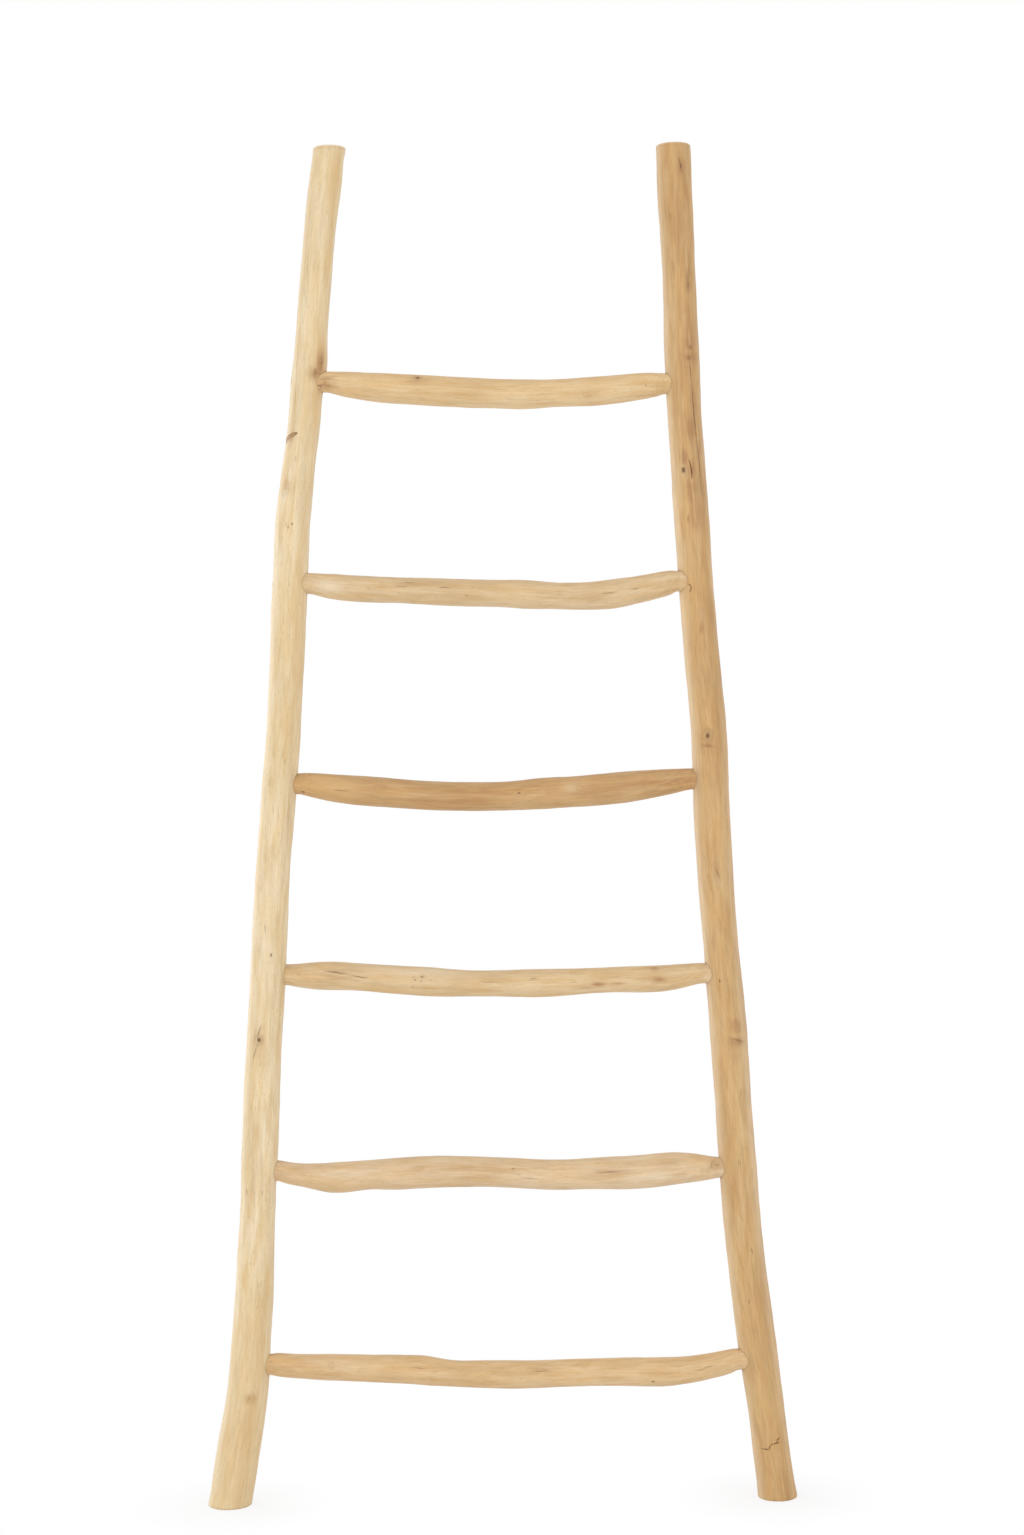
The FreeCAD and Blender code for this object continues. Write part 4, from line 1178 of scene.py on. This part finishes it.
def peeled_wood(sheet, place, tones):
    """The colour, the relief and the layers of bare teak."""
    layers = {name: sheet.noise(place, *shape) for name, shape in GRAIN.items()}
    share = TONE_START
    for name, weight in TONE_WEIGHTS.items():
        share = sheet.maths("MULTIPLY_ADD", layers[name], weight, share)
    colour = sheet.ramp(share, list(zip(TONE_PLACES, tones)))
    covers = {}
    for name, low, high, strength, tint, how in OVERLAYS:
        covers[name] = sheet.between(layers[name], low, high, 0, strength)
        colour = sheet.mix(covers[name], colour, tint or tones[-1], how)
    streaks = sheet.times(layers["streaks"], STREAK_RELIEF)
    relief = sheet.maths("MULTIPLY_ADD", layers["fibres"], FIBRE_RELIEF, streaks)
    relief = sheet.maths("MULTIPLY_ADD", covers["pores"], PORE_RELIEF, relief)
    return colour, relief, layers


def lay_stains_and_painted_light(sheet, colour, layers, grain):
    """The soft stains of a stick with its bands of painted highlight and shade, and the rings that show
    where the knife cut it.
    """
    stains_and_painted_light = sheet.node("Attribute", attribute_name="stains_and_painted_light")
    smudge_and_shade, warm_and_shade, pale_and_highlight = sheet.node("SeparateColor", stains_and_painted_light.outputs["Color"]).outputs
    broken = sheet.maths("ADD", sheet.between(layers["streaks"], *SMUDGE_STREAKS),
                         sheet.between(layers["blotches"], *SMUDGE_BLOTCHES))
    # The warm, smudge and pale stains also carry the long bands of painted shade and painted highlight
    colour = sheet.mix(sheet.times(warm_and_shade, WARM_AND_SHADE_COVER), colour, WARM_AND_SHADE_TINT)
    colour = sheet.mix(sheet.times(smudge_and_shade, broken, clamp=True), colour, SMUDGE_AND_SHADE_TINT)
    colour = sheet.mix(sheet.times(pale_and_highlight, PALE_AND_HIGHLIGHT_COVER), colour, PALE_AND_HIGHLIGHT_TINT)
    reach = sheet.length(sheet.vector("MULTIPLY", grain, (1, 1, 0)))
    rings = sheet.rings(reach, layers["streaks"], CUT_RING_SPACING)
    ring_share = sheet.times(sheet.between(rings, *CUT_RINGS), stains_and_painted_light.outputs["Alpha"])
    return sheet.mix(ring_share, colour, SMUDGE_AND_SHADE_TINT, "MULTIPLY")


def lay_marks(sheet, branch, colour, layers, unrolled, swirled):
    """The lines, knots and scars of a stick, and how deep they are."""
    lines = sheet.times(mark_mask(sheet, unrolled, line_marks(branch)), LINE_GAIN, clamp=True)
    depth = lines
    for kind, (bands, tint, dent) in KNOT_KINDS.items():
        knots = knot_marks(branch, kind)
        if knots:
            stops = [(place, grey(level)) for place, level in bands]
            knot = sheet.ramp(mark_mask(sheet, swirled, knots), stops)
            colour = sheet.mix(knot, colour, tint)
            depth = sheet.maths("MAXIMUM", depth, sheet.times(knot, dent))
    colour = sheet.mix(sheet.times(lines, LINE_COVER), colour, MARK_TINT)
    scars = scar_marks(branch)
    if scars:
        scar = mark_mask(sheet, unrolled, scars)
        inside = sheet.between(scar, *SCAR_FLOOR)
        bare = sheet.times(inside, sheet.between(layers["fibres"], *SCAR_FIBRES))
        colour = sheet.mix(bare, colour, SCAR_TINT)
        edge = sheet.times(inside, sheet.between(scar, *SCAR_RIM))
        colour = sheet.mix(edge, colour, MARK_TINT)
    return colour, depth


def branch_finish(branch):
    """The finish of one peeled branch, with its own marks and stains."""
    sheet = material_sheet(f"{branch.node}_teak")
    place, grain = sheet.attribute("stick_place"), sheet.attribute("grain_place")
    colour, relief, layers = peeled_wood(sheet, grain, TONES[branch.node])
    colour = lay_stains_and_painted_light(sheet, colour, layers, grain)
    side, depth, along = sheet.node("SeparateXYZ", place).outputs
    turn = sheet.maths("ARCTAN2", side, sheet.times(depth, -1.0))
    flat = sheet.node("CombineXYZ", sheet.times(turn, branch.thick / 2), along, 0.0).outputs[0]
    unrolled = sheet.wavering(flat, place, *LINE_WAVER)
    swirled = sheet.wavering(unrolled, place, *KNOT_SWIRL)
    colour, depth = lay_marks(sheet, branch, colour, layers, unrolled, swirled)
    # Painted shade: darker down in cracks and holes and round each tenon's mouth
    colour = sheet.mix(sheet.attribute("painted_shade", "Fac"), colour, SMUDGE_AND_SHADE_TINT, "MULTIPLY")
    roughness = sheet.between(layers["streaks"], *WOOD_ROUGHNESS)
    relief = sheet.maths("MULTIPLY_ADD", depth, MARK_RELIEF, relief)
    return sheet.finish(colour, roughness, relief, BRANCH_BUMP)


def end_grain_finish(branch):
    """A sawn end: off-centre growth rings, radial checks and the saw's fine scratches."""
    tones = TONES[branch.node]
    sheet = material_sheet(f"{branch.node}_end_grain")
    place = sheet.attribute("stick_place")
    pith = sheet.node("Mapping", place, PITH_SHIFT, None, PITH_STRETCH).outputs[0]
    waver = sheet.even_noise(place, END_WAVER_SCALE)
    reach = sheet.length(pith)
    across, back, up = sheet.node("SeparateXYZ", pith).outputs
    angle = sheet.maths("ARCTAN2", across, back)
    ring = sheet.rings(reach, waver, END_RING_SPACING)
    colour = sheet.ramp(sheet.between(ring, -1, 1), list(zip(RING_TONE_PLACES, tones)))
    colour = sheet.mix(sheet.between(reach, *HEART), colour, SMUDGE_AND_SHADE_TINT)
    round_share, out_share = RAY_SCALES
    rays = sheet.node("CombineXYZ", sheet.times(angle, round_share), sheet.times(reach, out_share),
                      up).outputs[0]
    ray = sheet.between(sheet.even_noise(rays, 1.0), *RAYS)
    colour = sheet.mix(ray, colour, tones[-1], "MULTIPLY")
    spokes = sheet.maths("MULTIPLY_ADD", angle, CHECKS, sheet.times(waver, CHECK_WAVER))
    check = sheet.between(sheet.maths("COSINE", spokes), *CHECK_WIDTH)
    check = sheet.times(check, sheet.between(reach, *CHECK_REACH))
    colour = sheet.mix(check, colour, MARK_TINT)
    scratch = sheet.noise(place, *SAW_SCRATCHES)
    relief = sheet.maths("MULTIPLY_ADD", ring, RING_RELIEF, scratch)
    relief = sheet.maths("MULTIPLY_ADD", check, MARK_RELIEF, relief)
    return sheet.finish(colour, sheet.between(scratch, *END_ROUGHNESS), relief, END_BUMP)


def plug_finish():
    sheet = material_sheet("plug_teak")
    colour, relief, layers = peeled_wood(sheet, sheet.attribute("grain_place"), TONES["plug"])
    roughness = sheet.between(layers["streaks"], *WOOD_ROUGHNESS)
    return sheet.finish(colour, roughness, relief, PLUG_BUMP)


def screw_finish():
    """Zinc-plated steel with fine turning marks round the screw and a few dull spots."""
    sheet = material_sheet("zinc_screw")
    place = sheet.node("TexCoord").outputs["Object"]
    turning = sheet.node("Mapping", place, None, None, TURNING_MARKS).outputs[0]
    spots = sheet.even_noise(place, SPOT_SCALE, 3.0)
    colour = sheet.ramp(spots, list(zip(ZINC_PLACES, ZINC_TONES)))
    roughness = sheet.between(spots, *ZINC_ROUGHNESS)
    made = sheet.finish(colour, roughness, sheet.even_noise(turning, 1.0), SCREW_BUMP)
    made.node_tree.nodes["Principled BSDF"].inputs["Metallic"].default_value = 1.0
    return made


# The ladder

def make_ladder():
    stiles = {side: Branch(f"{side}_stile", 2) for side in OUTWARD}
    rungs = {step: Branch(f"rung_{step}", 0) for step in STEPS}
    joints = {(side, step): Joint(side, step, rungs[step]) for side in OUTWARD for step in STEPS}
    for branch in [*stiles.values(), *rungs.values()]:
        branch.scatter_back_marks()
    for side, stile in stiles.items():
        piece = shape_branch(stile, STILE_SIDES, STILE_CUTS)
        own = [joints[side, step] for step in STEPS]
        cut_away(piece, [joint.drill(stile) for joint in own] + blades(stile))
        finish_branch(stile, piece, [branch_finish(stile), end_grain_finish(stile)], own)
    for step, rung in rungs.items():
        ends = [joints[side, step] for side in OUTWARD]
        rung.plan_knife_cuts([(end.mouth(stiles[end.side]), -end.out) for end in ends])
        piece = shape_branch(rung, RUNG_SIDES, RUNG_CUTS)
        cut_away(piece, [end.pilot() for end in ends] + blades(rung))
        finish_branch(rung, piece, [branch_finish(rung)])
    plug_wood, zinc = plug_finish(), screw_finish()
    for (side, step), joint in joints.items():
        make_plug(stiles[side], joint, plug_wood)
        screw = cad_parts[f"screw_{side}_{step}"]
        screw.data.materials.clear()
        screw.data.materials.append(zinc)


# The stage

def stand(data, place, turn):
    """Stands a camera or a lamp in the scene, under its own name."""
    made = bpy.data.objects.new(data.name, data)
    made.location, made.rotation_euler = place, turn
    bpy.context.scene.collection.objects.link(made)
    return made


def make_camera():
    lens = bpy.data.cameras.new("front_view")
    lens.lens, lens.sensor_width = LENS, SENSOR
    bpy.context.scene.camera = stand(lens, CAMERA_PLACE, (math.pi / 2, CAMERA_ROLL, 0))


def soft_light(name, place, wide, high, watts):
    """A panel of light that looks at the middle of the ladder."""
    panel = bpy.data.lights.new(name, "AREA")
    panel.shape, panel.size, panel.size_y, panel.energy = "RECTANGLE", wide, high, watts
    across, back, up = np.array(LAMP_AIM) - np.array(place)
    stand(panel, place, (math.atan2(math.hypot(across, back), -up), 0, math.atan2(-across, back)))


def seen_plainly(sheet):
    """1 for rays from the camera, or ones seen in gloss or through glass."""
    rays = sheet.node("LightPath").outputs
    seen = sheet.maths("MAXIMUM", rays["Is Camera Ray"], rays["Is Glossy Ray"])
    return sheet.maths("MAXIMUM", seen, rays["Is Transmission Ray"])


def make_world():
    world = bpy.data.worlds.new("white_studio")
    bpy.context.scene.world = world
    sheet = Sheet(world)
    level = sheet.between(seen_plainly(sheet), 0, 1, WORLD_LEVEL, 1.0)
    background = sheet.node("Background", grey(1.0), level)
    sheet.tree.links.new(background.outputs[0], sheet.node("OutputWorld").inputs[0])


def make_floor():
    """A white floor that keeps the ladder's soft shadow near its feet in a disc of matt floor, partly
    real shadow and partly painted shade, and fades to plain white.
    """
    bpy.ops.object.select_all(action="DESELECT")
    bpy.ops.mesh.primitive_plane_add(size=FLOOR_SPAN)
    floor = newest("studio_floor")
    sheet = material_sheet("studio_white")
    matt = sheet.node("BsdfDiffuse", grey(FLOOR_LEVEL))
    plain = sheet.node("Emission", grey(1.0), 1.0)
    across, back, _ = sheet.node("SeparateXYZ", sheet.node("TexCoord").outputs["Object"]).outputs
    beside = sheet.maths("SUBTRACT", sheet.maths("ABSOLUTE", across), FOOT_X)
    far = sheet.length(sheet.node("CombineXYZ", beside, back, 0.0).outputs[0])
    # Painted shadow disc round each foot, where the matt floor and its real shadow show through the
    # plain white
    shadow = sheet.between(far, *FOOT_SHADOW)
    lit = sheet.times(seen_plainly(sheet), sheet.maths("SUBTRACT", 1.0, shadow))
    mixed = sheet.node("MixShader", lit, matt.outputs[0], plain.outputs[0])
    sheet.tree.links.new(mixed.outputs[0], sheet.node("OutputMaterial").inputs[0])
    floor.data.materials.append(sheet.owner)


make_ladder()
make_camera()
for lamp, (place, wide, high, watts) in LAMPS.items():
    soft_light(lamp, place, wide, high, watts)
make_world()
make_floor()
bpy.context.scene.view_settings.view_transform = "Standard"
